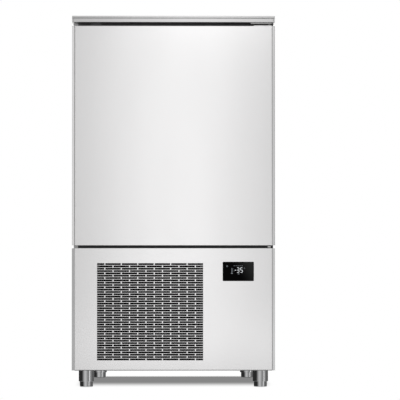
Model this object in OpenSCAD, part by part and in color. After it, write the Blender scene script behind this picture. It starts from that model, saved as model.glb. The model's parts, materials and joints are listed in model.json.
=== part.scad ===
// Upright blast chiller: one full-width insulated door over a slotted service panel, on four round legs.
// The frame: +Z up, the front faces -Y, and the origin is on the floor, under the centre of the outline.

/* [Cabinet] */
// Overall width
body_w = 790; // [650:1:960]
// Overall depth, with the rear screw heads
body_d = 820; // [680:1:990]
// Height of the legs
foot_h = 68; // [60:1:90]
// Height of the front panel over the machine compartment
base_h = 474.8; // [395:0.1:575]
// Gap under the door
low_gap = 11.5; // [9:0.5:14]
// Height of the door
door_h = 854.5; // [710:0.5:1030]
// Gap over the door
top_gap = 14.5; // [14:0.5:18]
// Height of the top panel
top_h = 24.7; // [20:0.1:40]
// Stainless sheet
sheet = 1.2; // [0.8:0.1:1.5]
// How far the insulated cabinet stands inside the outline on each side
cab_inset = 4.5; // [3:0.5:8]

/* [Insulation] */
// Foam and skins at the two sides
side_wall = 52.5; // [45:0.5:65]
// Foam and skins at the back
rear_wall = 53.5; // [45:0.5:65]
// Foam and skins under the chamber
floor_wall = 56.2; // [45:0.1:70]
// Foam and skins over the chamber
roof_wall = 55.3; // [45:0.1:70]
// Corner radius of the chamber
chamber_r = 12; // [6:1:20]
// Sheet of the chamber liner
liner_t = 0.8; // [0.6:0.1:1.2]

/* [Door] */
// Thickness of the door
door_t = 58; // [50:1:70]
// Room for the seal between door and cabinet
seal_gap = 14; // [12:0.5:18]
// Visible width of the edge strip beside the door face and the front panel
strip_w = 11; // [8:0.5:16]
// Fold at the edge of the door face and the front panel
hem = 4; // [3:0.5:6]
// Wall of the two edge profiles of the door
profile_t = 2; // [1.5:0.1:3]
// Depth of the finger recess in the left edge
grip_depth = 27; // [22:1:34]
// Depth of the hinge-side profile
edge_depth = 25; // [20:1:30]
// Height of the pressed field of the inner door panel
door_field = 4; // [2:0.5:6]
// Width of the seal
seal_w = 18; // [14:1:22]

/* [Hinge] */
// Distance of the hinge axis from the door's edge
hinge_inset = 23; // [20:0.5:28]
// Distance of the hinge axis from the door's face
hinge_back = 29; // [26:0.5:32]
// Diameter of the hinge pins
pin_d = 10; // [8:0.5:12]
// Radial clearance of pins, shafts and stems in their bores
bore_clear = 0.05; // [0.02:0.01:0.1]
// Width of the upper hinge plate
hinge_w = 82; // [60:1:100]
// Length of the bushes in the door
bush_l = 22; // [15:1:30]

/* [Grille] */
// Length of a slot
slot_l = 58.5; // [40:0.5:70]
// Height of a slot
slot_h = 5.8; // [4:0.1:7]
// Bar between two slots of a row
slot_bar = 5.5; // [4:0.1:8]
// Distance from row to row
slot_pitch = 9.02; // [8:0.01:12]
// Whole slots in a row
slot_columns = 6; // [4:1:6]
// Left end of the grille from the centre
grille_left = 296; // [280:1:300]
// Bottom of the grille over the bottom of the panel
grille_low = 40.5; // [30:0.5:60]
// Top of the grille under the top of the panel
grille_high = 57; // [45:1:80]

/* [Display] */
// Width of the glass
display_w = 121; // [100:1:140]
// Height of the glass
display_h = 74.5; // [60:0.5:85]
// Centre of the glass from the right side of the panel
display_side = 143; // [120:1:160]
// Centre of the glass under the top of the panel
display_drop = 90; // [70:1:110]
// Corner radius of the glass
display_r = 3; // [1:0.5:6]
// Thickness of the glass
display_t = 2.8; // [2:0.1:4]

/* [Legs] */
// Diameter of the leg sleeve
leg_d = 60; // [50:1:70]
// Radial clearance of the adjustable foot in the sleeve
foot_clear = 2.75; // [1.5:0.25:5]
// Height of the foot below the sleeve
foot_show = 22; // [16:1:30]
// Travel of the height adjustment
foot_travel = 15; // [8:1:20]
// Front legs from the sides
leg_front_side = 54; // [45:1:140]
// Rear legs from the sides
leg_rear_side = 85; // [45:1:140]
// Front legs behind the front face
leg_front_y = 90; // [60:1:120]
// Rear legs before the back
leg_rear_y = 71; // [60:1:120]

/* [Condensing unit] */
// Diameter of the condenser fan
cond_fan_d = 300; // [250:1:300]
// Depth of the condenser
cond_depth = 60; // [40:1:70]
// Pitch of the condenser fins
cond_pitch = 6; // [5:0.5:10]
// Diameter of the compressor
comp_d = 200; // [160:1:210]
// Height of the compressor
comp_h = 280; // [220:1:290]
// Diameter of the liquid receiver
receiver_d = 110; // [80:1:120]

/* [Evaporator] */
// Depth of the space behind the fan baffle
evap_zone = 215; // [200:1:240]
// Diameter of the chamber fans
evap_fan_d = 200; // [160:1:210]
// Distance of each chamber fan from the middle of the chamber height
evap_fan_off = 185; // [140:1:190]
// Depth of the evaporator
evap_depth = 90; // [60:1:95]
// Pitch of the evaporator fins
evap_pitch = 9; // [7:0.5:14]

/* [Racks] */
// Distance from tray level to tray level
level_pitch = 68; // [56:1:80]
// First level over the chamber floor
level_first = 61; // [50:1:80]
// Diameter of the runner rod
rod_d = 8; // [6:0.5:10]
// How far a runner reaches in from its rack bars
runner_reach = 71.5; // [50:0.5:110]
// Lift that frees a rack from its studs
rack_lift = 12; // [10:1:14]

/* [Hidden] */
$fn = 64;
cut = 1; // overshoot of cuts past a face
seat = 0.3; // clearance between parts that seat but are not clamped

// Heights
base_z0 = foot_h;
base_z1 = base_z0 + base_h;
door_z0 = base_z1 + low_gap;
door_z1 = door_z0 + door_h;
top_z0 = door_z1 + top_gap;
top_z1 = top_z0 + top_h;

// Depths, from the front face back
face_y = -body_d / 2;
door_back_y = face_y + door_t;
cab_y = door_back_y + seal_gap;
screw_head = 1.5;
skin_y = body_d / 2 - screw_head; // outer face of the back skins
skin_in_y = skin_y - sheet;
return_w = 15; // folded returns of the skins
panel_hw = body_w / 2 - strip_w; // half width of the door face and the front panel

// Insulated cabinet
cab_hw = body_w / 2 - cab_inset;
cab_return = cab_hw - 16.5; // inner edge of the front flange of the side skins
frame_t = 6; // thickness of the thermal-break frame
joint_gap = 0.2; // between pieces that butt or stand against each other
chamber_hw = cab_hw - side_wall;
chamber_z0 = base_z1 + floor_wall;
chamber_z1 = top_z0 - roof_wall;
chamber_y = skin_y - rear_wall;
chamber_mid = (chamber_z0 + chamber_z1) / 2;
joint_z = (chamber_z1 - chamber_z0) / 2 - chamber_r;

// Screws of the back skins
screw_d = 4;
screw_head_d = 8;
cab_screw_x = cab_hw - 8;
cab_screw_z = [for (i = [0:4]) base_z1 + 40 + i * (top_z0 - base_z1 - 80) / 4];
base_screw_x = body_w / 2 - 8;
base_screw_z = [for (i = [0:2]) base_z0 + 40 + i * (base_h - 80) / 2];

// Door
skin_r = 2; // outer bend radius of the folded faces
cap_t = 1.5; // end caps of the door
lip = 1.5; // thickness of the finger lips
lip_len = 8;
leg_y0 = face_y + hem; // front legs of the edge profiles
back_leg_y1 = door_back_y - sheet;
grip_wall_x = -body_w / 2 + grip_depth; // inner wall of the finger recess
edge_wall_x = body_w / 2 - profile_t;
edge_leg_x = body_w / 2 - edge_depth;
field_hw = chamber_hw - 8;
field_z0 = chamber_z0 + 8;
field_z1 = chamber_z1 - 8;
seal_hw = chamber_hw + 8 + seal_w; // outer half width of the seal
seal_z0 = chamber_z0 - 8 - seal_w;
seal_z1 = chamber_z1 + 8 + seal_w;

// Hinge
hinge_x = body_w / 2 - hinge_inset;
hinge_y = face_y + hinge_back;
bush_d = pin_d + 6;
bush_plate_t = 3;
bracket_t = top_gap - 8.5; // leaves the running gap and the door plate
low_bracket_t = 3;
low_nose = 12; // the lower plates start this far from the axis
bracket_leg_t = 3;
bracket_leg_w = 12;
bracket_right = hinge_x + 11;
bracket_left = bracket_right - hinge_w;
pin_l = bush_l - 2;
collar_t = low_gap - low_bracket_t - bush_plate_t - seat;

// Grille and display
slot_step = slot_l + slot_bar;
slot_short = slot_step / 2 - slot_bar;
grille_w = slot_columns * slot_step + slot_short;
grille_z0 = base_z0 + grille_low;
slot_rows = floor((base_h - grille_low - grille_high + slot_pitch - slot_h) / slot_pitch);
grille_z1 = grille_z0 + slot_rows * slot_pitch - (slot_pitch - slot_h);
grille_mid_x = -grille_left + grille_w / 2;
display_x = body_w / 2 - display_side;
display_z = base_z1 - display_drop;
display_clear = 0.3;
glass_back_y = face_y + display_t;
housing_y0 = face_y + sheet;
housing_y1 = face_y + 25;
housing_rim = 8;
housing_wall = 2;
board_t = 1.6;

// Base pan and legs
pan_t = 2;
pan_up = 25;
pan_y0 = face_y + 12;
pan_hw = body_w / 2 - sheet - seat;
leg_wall = 1.5;
leg_flange_d = leg_d + 8;
leg_flange_t = 3;
foot_d = leg_d - 2 * leg_wall - 2 * foot_clear;
boss_h = foot_travel + 5; // threaded boss in the top of the sleeve
leg_roof = 1.5; // closed end over the stem
stem_d = 12;
stud_d = 10;
nut_d = 19;
nut_h = 8;
foot_neck_z = base_z0 - boss_h - leg_flange_t - seat;
leg_front_x = body_w / 2 - leg_front_side;
leg_rear_x = body_w / 2 - leg_rear_side;
leg_places = [
    [-leg_front_x, face_y + leg_front_y],
    [leg_front_x, face_y + leg_front_y],
    [-leg_rear_x, body_d / 2 - leg_rear_y],
    [leg_rear_x, body_d / 2 - leg_rear_y]
];

// Condensing unit, front to back
cond_y0 = face_y + 25;
cond_y1 = cond_y0 + cond_depth;
cond_fins = floor((grille_w - 20) / cond_pitch);
cond_w = cond_fins * cond_pitch;
cond_right = grille_mid_x + cond_w / 2;
shroud_y = cond_y1 + 7;
shroud_t = 1.5;
shroud_ring = 20;
shroud_hw = cond_w / 2 + 15;
shroud_z0 = base_z0 + pan_t;
shroud_z1 = base_z1 - 37.8;
fan_z = (shroud_z0 + shroud_z1) / 2;
cond_fan_y0 = shroud_y + shroud_t + shroud_ring + 3;
cond_fan_t = 38;
cond_motor_y0 = cond_fan_y0 + cond_fan_t + 6;
cond_motor_l = 70;
cond_motor_d = 110;
shaft_d = 10;
comp_x = -150;
comp_y = body_d / 2 - 310;
mount_h = 25;
comp_z0 = base_z0 + pan_t + mount_h;
compressor_port = 150; // suction stub over the foot plate
discharge_port = 235;
mount_off = comp_d / 2 - 5;
pipe_x1 = cond_right + 26; // discharge run
pipe_x2 = cond_right + 46; // condensed liquid run
valve_x = chamber_hw - 33; // riser of the liquid line
liquid_y = chamber_y - 20 - evap_depth / 2; // level with the evaporator's middle
receiver_x = pipe_x2 - 60;
receiver_y = liquid_y - 230;
receiver_z0 = base_z0 + pan_t + 5;
receiver_h = 230;
drier_x = valve_x - 55;
drier_y0 = receiver_y + 70;
drier_l = 130;
drier_d = 50;
liquid_z = base_z0 + 52;
line_d = 10;
discharge_d = 12;
pipe_lap = 1; // lap of a run's core into its bends
suction_d = 20;
bend_r = 20;
ebox = [150, 195, 270];
ebox_x = pipe_x2 + 0.68 * (body_w / 2 - pipe_x2 - ebox.x); // nearer to the side than to the pipes
ebox_y = face_y + 128;
gland_x = body_w / 2 - 155;
gland_y = body_d / 2 - 30;

// Evaporator, behind the fan baffle
baffle_y = chamber_y - evap_zone;
baffle_t = 1.5;
baffle_hw = chamber_hw - 38;
evap_y1 = chamber_y - 20;
evap_y0 = evap_y1 - evap_depth;
evap_fins = floor((2 * chamber_hw - 116) / evap_pitch);
evap_w = evap_fins * evap_pitch;
evap_z0 = chamber_z0 + 45;
evap_z1 = chamber_z1 - 30;
evap_fan_z = [chamber_mid + evap_fan_off, chamber_mid - evap_fan_off];
evap_hole = evap_fan_d + 10;
evap_fan_y0 = baffle_y + baffle_t + 5;
evap_fan_t = 30;
evap_motor_y0 = evap_fan_y0 + evap_fan_t + 5;
evap_motor_l = 40;
evap_motor_d = 80;
valve_z0 = chamber_z0 + 90;
valve_h = 60;
suction_x = chamber_hw - 24;
suction_y = chamber_y - 23;
suction_top = evap_z1 - 60;
suction_low = base_z1 - 94;
drain_x = -chamber_hw + 130;
drain_y = chamber_y - 100;
drain_d = 20;

// Racks
levels = floor((chamber_z1 - chamber_z0 - level_first - 20) / level_pitch);
level_z = [for (i = [0:levels - 1]) chamber_z0 + level_first + i * level_pitch];
bar_w = 25;
bar_t = 2.5;
bar_x = chamber_hw - 6; // outer face of the rack bars
bar_in = bar_x - bar_t;
rack_y0 = cab_y + 48;
rack_y1 = baffle_y - 40;
stud_len = 10;
rack_stud_d = 8;
rack_head_d = 13;
stud_levels = [0, levels - 2];
runner_x = bar_in - runner_reach;
runner_bend = 20;

steel = "#d9d8d5";
bright = "#c9cacb";
dark = "#2b2c2e";
black = "#0d0e10";
foam_white = "#e9e4d2";
copper = "#b8703e";
fin_grey = "#a9adb1";
board_green = "#2f5d3a";

// ---------------------------------------------------------------- general shapes

// Block between two opposite corners
module block(a, b) {
    translate(a) cube(b - a);
}

// Rectangle with round corners, centred
module rounded_rect(w, h, r) {
    square([w - 2 * r, h], center = true);
    square([w, h - 2 * r], center = true);
    for (sx = [-1, 1], sy = [-1, 1])
        translate([sx * (w / 2 - r), sy * (h / 2 - r)]) circle(r);
}

// Outline drawn in X and Z, made solid from y0 back to y1
module upright(y0, y1) {
    translate([0, y1, 0]) rotate([90, 0, 0]) linear_extrude(y1 - y0) children();
}

// Outline drawn in Y and Z, made solid from x0 to x1
module sideways(x0, x1) {
    translate([x0, 0, 0]) rotate([90, 0, 90]) linear_extrude(x1 - x0) children();
}

// Round bar along Y from y0 to y1
module bar_y(x, z, d, y0, y1) {
    translate([x, y1, z]) rotate([90, 0, 0]) cylinder(h = y1 - y0, d = d);
}

// Round bar along X from x0 to x1
module bar_x(y, z, d, x0, x1) {
    translate([x0, y, z]) rotate([0, 90, 0]) cylinder(h = x1 - x0, d = d);
}

// Children and their mirror image on the other side of the cabinet
module both_sides() {
    children();
    mirror([1, 0, 0]) children();
}

// Frame whose columns are the axes u and v and their normal, placed at p
function placed(u, v, p) =
    let (w = cross(u, v))
    [[u.x, v.x, w.x, p.x], [u.y, v.y, w.y, p.y], [u.z, v.z, w.z, p.z], [0, 0, 0, 1]];

function unit(v) = v / norm(v);

// A direction square to d, for runs that follow the axes
function square_to(d) = abs(d.x) < 0.5 ? [1, 0, 0] : [0, 1, 0];

// Pipe of diameter d through points joined by runs that follow the axes, with bends of centre radius b
module pipe(points, d, b = bend_r) {
    last = len(points) - 1;
    for (i = [0:last - 1]) {
        way = unit(points[i + 1] - points[i]);
        from = points[i] + (i > 0 ? b : 0) * way;
        to = points[i + 1] - (i < last - 1 ? b : 0) * way;
        across = square_to(way);
        multmatrix(placed(across, cross(way, across), from)) {
            cylinder(h = norm(to - from), d = d);
            // Core that laps into the bends, so that run and bend join as one
            lap0 = i > 0 ? pipe_lap : 0;
            lap1 = i < last - 1 ? pipe_lap : 0;
            translate([0, 0, -lap0]) cylinder(h = norm(to - from) + lap0 + lap1, d = 0.7 * d);
        }
    }
    for (i = [1:1:last - 1]) {
        u = unit(points[i] - points[i - 1]);
        v = unit(points[i + 1] - points[i]);
        multmatrix(placed(-v, u, points[i] - b * u + b * v))
            rotate_extrude(angle = 90) translate([b, 0]) circle(d = d);
    }
}

// Front of a folded sheet seen from above: a flat face with round corners and side folds
module folded_plan(hw, depth, r) {
    translate([-hw, r]) square([2 * hw, depth - r]);
    translate([-hw + r, 0]) square([2 * (hw - r), r + cut / 2]);
    for (s = [-1, 1]) translate([s * (hw - r), r]) circle(r);
}

// Folded face panel of half width hw from z0 to z1, open at the back
module folded_panel(hw, z0, z1) {
    translate([0, face_y, 0]) {
        translate([0, 0, z0]) linear_extrude(z1 - z0) difference() {
            folded_plan(hw, hem, skin_r);
            translate([0, sheet]) folded_plan(hw - sheet, hem, skin_r - sheet);
        }
        for (z = [z0, z1 - sheet])
            block([-hw + sheet, sheet, z], [hw - sheet, hem, z + sheet]);
    }
}

// Comb outline of a fin pack: fins across a thin core, seen from above
function comb_side(n, pitch, t, core, depth) = [
    for (i = [0:n - 1]) let (x = (i - (n - 1) / 2) * pitch) each [
        [x - t / 2, core / 2], [x - t / 2, depth / 2], [x + t / 2, depth / 2], [x + t / 2, core / 2]
    ]
];

module fin_pack(n, pitch, t, core, depth, height) {
    front = comb_side(n, pitch, t, core, depth);
    last = len(front) - 1;
    linear_extrude(height)
        polygon(concat(front, [for (i = [last:-1:0]) [front[i].x, -front[i].y]]));
}

// Return bends standing out of an end plate, in two columns, towards the given side
module return_bends(x, y, z0, z1, side, d, row) {
    count = floor((z1 - z0) / (2 * row));
    for (i = [0:count - 1], off = [-1, 1])
        translate([x, y + off * row * 0.8, z0 + row + i * 2 * row])
            multmatrix(placed([0, 0, -1], [side, 0, 0], [0, 0, 0]))
                rotate_extrude(angle = 180) translate([row / 2, 0]) circle(d = d);
}

// Axial fan with its hub from y0 back, on the shaft's axis
module axial_fan(x, z, y0, t, d, hub_d, blades, lean) {
    translate([x, y0 + t, z]) rotate([90, 0, 0]) {
        difference() {
            cylinder(h = t, d = hub_d);
            translate([0, 0, -cut]) cylinder(h = t - 6 + cut, d = shaft_d + 2 * bore_clear);
        }
        for (i = [0:blades - 1])
            rotate([0, 0, i * 360 / blades])
                translate([0, 0, 4]) linear_extrude(t - 8, twist = lean, slices = 5, segments = 12)
                    fan_blade(hub_d, d);
    }
}

// Swept blade outline, from the hub to the tip
module fan_blade(hub_d, d) {
    root = hub_d / 2 - 3;
    tip = d / 2;
    steps = 5;
    sweep = 10;
    function at(k, a) = let (r = root + (tip - root) * k / steps, g = a + sweep * pow(k / steps, 2))
        [r * cos(g), r * sin(g)];
    polygon(concat(
        [for (k = [0:steps]) at(k, 0)],
        [for (k = [steps:-1:0]) at(k, 2.2)]
    ));
}

// Motor held behind its fan by four bent arms that reach forward to a plate at y_plate
module arm_motor(x, z, y0, l, d, y_fan, y_plate, reach, arm_d) {
    arm_y = y0 + arm_d;
    bar_y(x, z, d, y0, y0 + l - 8);
    bar_y(x, z, d - 16, y0 + l - 8, y0 + l);
    bar_y(x, z, shaft_d, y_fan, y0);
    for (a = [45:90:315]) translate([x, 0, z]) rotate([0, a, 0]) {
        bar_x(arm_y, 0, arm_d, d / 2 + joint_gap, reach);
        bar_y(reach, 0, arm_d, y_plate, arm_y);
        translate([reach, arm_y, 0]) sphere(d = arm_d);
    }
}

// ---------------------------------------------------------------- cabinet

// Shallow folded pan with a shadow groove round its edge, closed underneath at the front
module top_panel() {
    wall = 2.6;
    groove = 1.2;
    groove_z = top_z1 - 9.5;
    hw = body_w / 2;
    color(steel) difference() {
        block([-hw, face_y, top_z0], [hw, skin_y, top_z1]);
        // Hollow over the cabinet
        block([-hw + wall, cab_y + 8, top_z0 - cut], [hw - wall, skin_y - wall, top_z1 - wall]);
        // Hollow of the front box over its underside
        block([-hw + wall, face_y + wall, top_z0 + wall], [hw - wall, cab_y + 8 + cut, top_z1 - wall]);
        // Shadow groove along the front and the sides
        difference() {
            block([-hw - cut, face_y - cut, groove_z], [hw + cut, skin_y + cut, groove_z + 1.5]);
            block(
                [-hw + groove, face_y + groove, groove_z - cut],
                [hw - groove, skin_y + 2 * cut, groove_z + 3]
            );
        }
        // End joints of the front edge
        for (s = [-1, 1])
            translate([s * (hw - 4.5), face_y, 0])
                block([-0.6, -cut, top_z0 - cut], [0.6, groove, groove_z + 1.5]);
    }
}

// Right side skin of the insulated cabinet with its front and rear returns
module side_panel() {
    color(steel) {
        block([cab_hw - sheet, cab_y, base_z1], [cab_hw, skin_in_y, top_z0]);
        block([cab_return, cab_y, base_z1], [cab_hw - sheet, cab_y + sheet, top_z0]);
        difference() {
            block([cab_hw - return_w, skin_in_y - sheet, base_z1], [cab_hw - sheet, skin_in_y, top_z0]);
            for (z = cab_screw_z) screw_hole([cab_screw_x, z]);
        }
    }
}

module screw_hole(at) {
    bar_y(at.x, at.y, screw_d + 0.4, skin_in_y - 3 * sheet, skin_y + cut);
}

// Back skin, and the floor skin under the foam that laps up to it
module back_panel() {
    color(steel) difference() {
        union() {
            block([-cab_hw, skin_in_y, base_z1], [cab_hw, skin_y, top_z0]);
            block([-cab_return, cab_y + frame_t, base_z1], [cab_return, skin_in_y - seat, base_z1 + sheet]);
        }
        for (z = cab_screw_z, s = [-1, 1]) screw_hole([s * cab_screw_x, z]);
        floor_holes(base_z1 - cut, base_z1 + sheet + cut);
    }
}

// Passages of the two lines and the drain through the cabinet floor
module floor_holes(z0, z1) {
    for (p = [[valve_x, liquid_y, line_d], [suction_x, suction_y, suction_d], [drain_x, drain_y, drain_d]])
        translate([p.x, p.y, z0]) cylinder(h = z1 - z0, d = p.z + 6);
}

module chamber_outline(grow) {
    translate([0, chamber_mid])
        rounded_rect(2 * (chamber_hw + grow), chamber_z1 - chamber_z0 + 2 * grow, chamber_r + grow);
}

// Foamed-in-place walls round the chamber
module insulation_foam() {
    color(foam_white) difference() {
        block(
            [-cab_hw + sheet, cab_y + frame_t, base_z1 + sheet],
            [cab_hw - sheet, skin_in_y - sheet, top_z0]
        );
        upright(cab_y, chamber_y + liner_t) chamber_outline(liner_t);
        floor_holes(base_z1, chamber_z0 + cut);
    }
}

// Deep-folded chamber liner with coved corners and the studs that carry the racks
module inner_liner() {
    color(bright) {
        difference() {
            upright(cab_y, chamber_y + liner_t) chamber_outline(liner_t);
            upright(cab_y - cut, chamber_y) chamber_outline(0);
            floor_holes(chamber_z0 - liner_t - cut, chamber_z0 + 4);
        }
        both_sides() for (y = [rack_y0, rack_y1], i = stud_levels) {
            z = stud_z(i);
            bar_x(y, z, rack_stud_d, chamber_hw - stud_len, chamber_hw);
            bar_x(y, z, rack_head_d, chamber_hw - stud_len - 2, chamber_hw - stud_len);
        }
    }
}

function stud_z(i) = level_z[i] + level_pitch / 2;

// Plastic frame between the cold liner and the outer skins at the mouth: four lengths and four corners
module opening_frame() {
    color(dark) upright(cab_y, cab_y + frame_t) difference() {
        translate([-cab_return, base_z1]) square([2 * cab_return, top_z0 - base_z1]);
        chamber_outline(liner_t);
        for (s = [-1, 1]) {
            // Butt joints between lengths and corners
            translate([s * (chamber_hw - chamber_r) - joint_gap / 2, base_z1 - cut])
                square([joint_gap, top_z0 - base_z1 + 2 * cut]);
            translate([-cab_return - cut, chamber_mid + s * joint_z - joint_gap / 2])
                square([2 * (cab_return + cut), joint_gap]);
        }
    }
}

// ---------------------------------------------------------------- machine compartment

module base_pan() {
    color(steel) difference() {
        union() {
            block([-pan_hw, pan_y0, base_z0], [pan_hw, skin_in_y - seat, base_z0 + pan_t]);
            both_sides() block(
                [pan_hw - sheet, face_y + hem + 8, base_z0],
                [pan_hw, skin_in_y - seat, base_z0 + pan_up]
            );
        }
        for (p = leg_places)
            translate([p.x, p.y, base_z0 - cut]) cylinder(h = pan_t + 2 * cut, d = stud_d + 0.4);
        translate([gland_x, gland_y, base_z0 - cut]) cylinder(h = pan_t + 2 * cut, d = 20.4);
    }
}

// Right side skin of the machine compartment
module base_side() {
    hw = body_w / 2;
    color(steel) {
        block([hw - sheet, leg_y0, base_z0], [hw, skin_in_y, base_z1]);
        block([hw - 25, leg_y0, base_z0 + sheet], [hw - sheet, leg_y0 + sheet, base_z1 - sheet]);
        block([panel_hw + 0.2, leg_y0, base_z1 - sheet], [hw - sheet, skin_in_y, base_z1]);
        difference() {
            block(
                [hw - return_w, skin_in_y - sheet, base_z0 + pan_up + 5],
                [hw - sheet, skin_in_y, base_z1 - sheet]
            );
            for (z = base_screw_z) screw_hole([base_screw_x, z]);
        }
    }
}

// Rear panel with two columns of air slots
module base_rear_panel() {
    hw = body_w / 2;
    rows = floor((base_h - 180) / 16);
    color(steel) difference() {
        block([-hw, skin_in_y, base_z0], [hw, skin_y, base_z1]);
        upright(skin_in_y - cut, skin_y + cut)
            for (s = [-1, 1], i = [0:rows - 1])
                translate([s * hw * 0.42, base_z0 + 90 + i * 16]) rounded_rect(170, 6, 2.9);
        for (z = base_screw_z, s = [-1, 1]) screw_hole([s * base_screw_x, z]);
    }
}

// Field of slots, each row shifted by half a step against the next, from the grille's lower left corner
module slot_field() {
    for (r = [0:slot_rows - 1]) {
        short_left = (slot_rows - 1 - r) % 2 == 0;
        start = short_left ? slot_short + slot_bar : 0;
        z = r * slot_pitch;
        for (c = [0:slot_columns - 1])
            translate([start + c * slot_step, z]) square([slot_l, slot_h]);
        translate([short_left ? 0 : slot_columns * slot_step, z]) square([slot_short, slot_h]);
    }
}

// Removable front panel: folded face, slotted grille, display cut-out and the ledge under the door
module front_panel() {
    color(steel) {
        difference() {
            folded_panel(panel_hw, base_z0, base_z1);
            upright(face_y - cut, face_y + 2 * sheet) {
                translate([-grille_left, grille_z0]) slot_field();
                translate([display_x, display_z])
                    rounded_rect(
                        display_w + 2 * display_clear,
                        display_h + 2 * display_clear,
                        display_r + display_clear
                    );
            }
        }
        block([-panel_hw, face_y + hem, base_z1 - sheet], [panel_hw, cab_y, base_z1]);
        block([-panel_hw, face_y + hem, base_z0], [panel_hw, pan_y0 - seat, base_z0 + sheet]);
    }
}

module display_glass() {
    color(black) upright(face_y, glass_back_y)
        translate([display_x, display_z]) rounded_rect(display_w, display_h, display_r);
}

// Moulded housing behind the panel: a rim round the glass, a window and a closed box for the board
module display_housing() {
    w = display_w + 2 * housing_rim;
    h = display_h + 2 * housing_rim;
    color(dark) translate([display_x, 0, display_z]) difference() {
        upright(housing_y0, housing_y1) rounded_rect(w, h, 5);
        upright(housing_y0 - cut, glass_back_y)
            rounded_rect(display_w + 2 * display_clear, display_h + 2 * display_clear, display_r);
        upright(glass_back_y - cut, glass_back_y + 2 * housing_wall)
            square([display_w - 20, display_h - 20], center = true);
        upright(glass_back_y + housing_wall, housing_y1 - housing_wall)
            square([w - 2 * housing_wall, h - 2 * housing_wall], center = true);
    }
}

// Display board with its spacers, driver chips and connectors
module control_board() {
    y = glass_back_y + housing_wall + 4;
    color(board_green) translate([display_x, 0, display_z]) {
        upright(y, y + board_t) square([display_w - 2, display_h - 4], center = true);
        for (sx = [-1, 1], sz = [-1, 1])
            bar_y(sx * (display_w / 2 - 5), sz * (display_h / 2 - 6), 6, glass_back_y + housing_wall, y);
        for (x = [-35, 0, 35])
            upright(y + board_t, y + board_t + 3) translate([x, 8]) square([16, 14], center = true);
        upright(y + board_t, y + board_t + 9) translate([0, -22]) square([60, 9], center = true);
    }
}

module supply_gland() {
    z = base_z0;
    color(dark) translate([gland_x, gland_y, 0]) difference() {
        union() {
            translate([0, 0, z - 3]) cylinder(h = 3, d = 28);
            translate([0, 0, z - 18]) cylinder(h = 15, d = 24, $fn = 6);
            translate([0, 0, z]) cylinder(h = 12, d = 20);
            translate([0, 0, z + pan_t]) cylinder(h = 5, d = 28, $fn = 6);
        }
        translate([0, 0, z - 19]) cylinder(h = 40, d = 12);
    }
}

// Sheet box with an overhanging lid, for the power board and contactors
module electrical_box() {
    z = base_z0 + pan_t;
    color(steel) {
        block([ebox_x, ebox_y, z], [ebox_x + ebox.x, ebox_y + ebox.y, z + ebox.z - 12]);
        block(
            [ebox_x - 2, ebox_y - 2, z + ebox.z - 12],
            [ebox_x + ebox.x + 2, ebox_y + ebox.y + 2, z + ebox.z]
        );
    }
    color(dark) for (i = [0:3])
        translate([ebox_x + 30 + i * 30, ebox_y - 6, z + 40]) rotate([-90, 0, 0]) cylinder(h = 6, d = 16);
}

// ---------------------------------------------------------------- condensing unit

// Welded can with domed ends, a seam bead, its foot plate, terminal box and two ports
module compressor() {
    r = comp_d / 2;
    dome = 50;
    seam = comp_h * 0.55;
    color(dark) translate([comp_x, comp_y, comp_z0]) {
        difference() {
            union() {
                translate([0, 0, dome]) cylinder(h = comp_h - 2 * dome, r = r);
                translate([0, 0, dome]) rotate([180, 0, 0]) dome_cap(r, dome);
                translate([0, 0, comp_h - dome]) dome_cap(r, dome);
                translate([0, 0, seam]) cylinder(h = 6, r = r + 4);
                block([-r - 15, -r - 15, 0], [r + 15, r + 15, 3]);
                translate([0, 0, 3]) cylinder(h = dome, r = r * 0.6);
                block([-55, -r - 26, 80], [55, -r + 20, 160]);
                bar_y(0, compressor_port, suction_d + 4, r - 10, r + 12);
                bar_x(0, discharge_port, discharge_d + 4, r - 10, r + 10);
            }
            for (sx = [-1, 1], sy = [-1, 1])
                translate([sx * mount_off, sy * mount_off, -cut]) cylinder(h = 3 + 2 * cut, d = 12.4);
            bar_y(0, compressor_port, suction_d + 2 * bore_clear, r, r + 12 + cut);
            bar_x(0, discharge_port, discharge_d + 2 * bore_clear, r, r + 10 + cut);
        }
    }
}

// Ellipse-like end of a can: an arc from the wall to a flat crown
module dome_cap(r, h) {
    crown = r - h;
    rotate_extrude() intersection() {
        union() {
            square([crown, h]);
            translate([crown, 0]) circle(h);
        }
        square([r, h]);
    }
}

// Rubber mounts: a body under the foot plate and a neck through it
module compressor_mounts() {
    color(dark) for (sx = [-1, 1], sy = [-1, 1])
        translate([comp_x + sx * mount_off, comp_y + sy * mount_off, base_z0 + pan_t]) {
            cylinder(h = mount_h, d = 30);
            cylinder(h = mount_h + 5, d = 12);
            translate([0, 0, mount_h + 3]) cylinder(h = 4, d = 18);
        }
}

// Fin-and-tube coil: fin pack between two end plates, with return bends at both ends
module condenser_coil() {
    h = grille_z1 - grille_z0;
    mid_y = (cond_y0 + cond_y1) / 2;
    end_x = cond_w / 2;
    color(fin_grey) translate([grille_mid_x, mid_y, 0]) {
        translate([0, 0, grille_z0]) fin_pack(cond_fins, cond_pitch, 1, 2, cond_depth, h);
        for (s = [-1, 1]) {
            translate([s * end_x - 1, -cond_depth / 2, base_z0 + pan_t])
                cube([2, cond_depth, grille_z1 - base_z0 - pan_t]);
            return_bends(s * end_x, 0, grille_z0, grille_z1, s, 8, 20);
        }
        translate([-end_x, -1, grille_z0]) cube([2 * end_x, 2, h]);
    }
}

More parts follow.
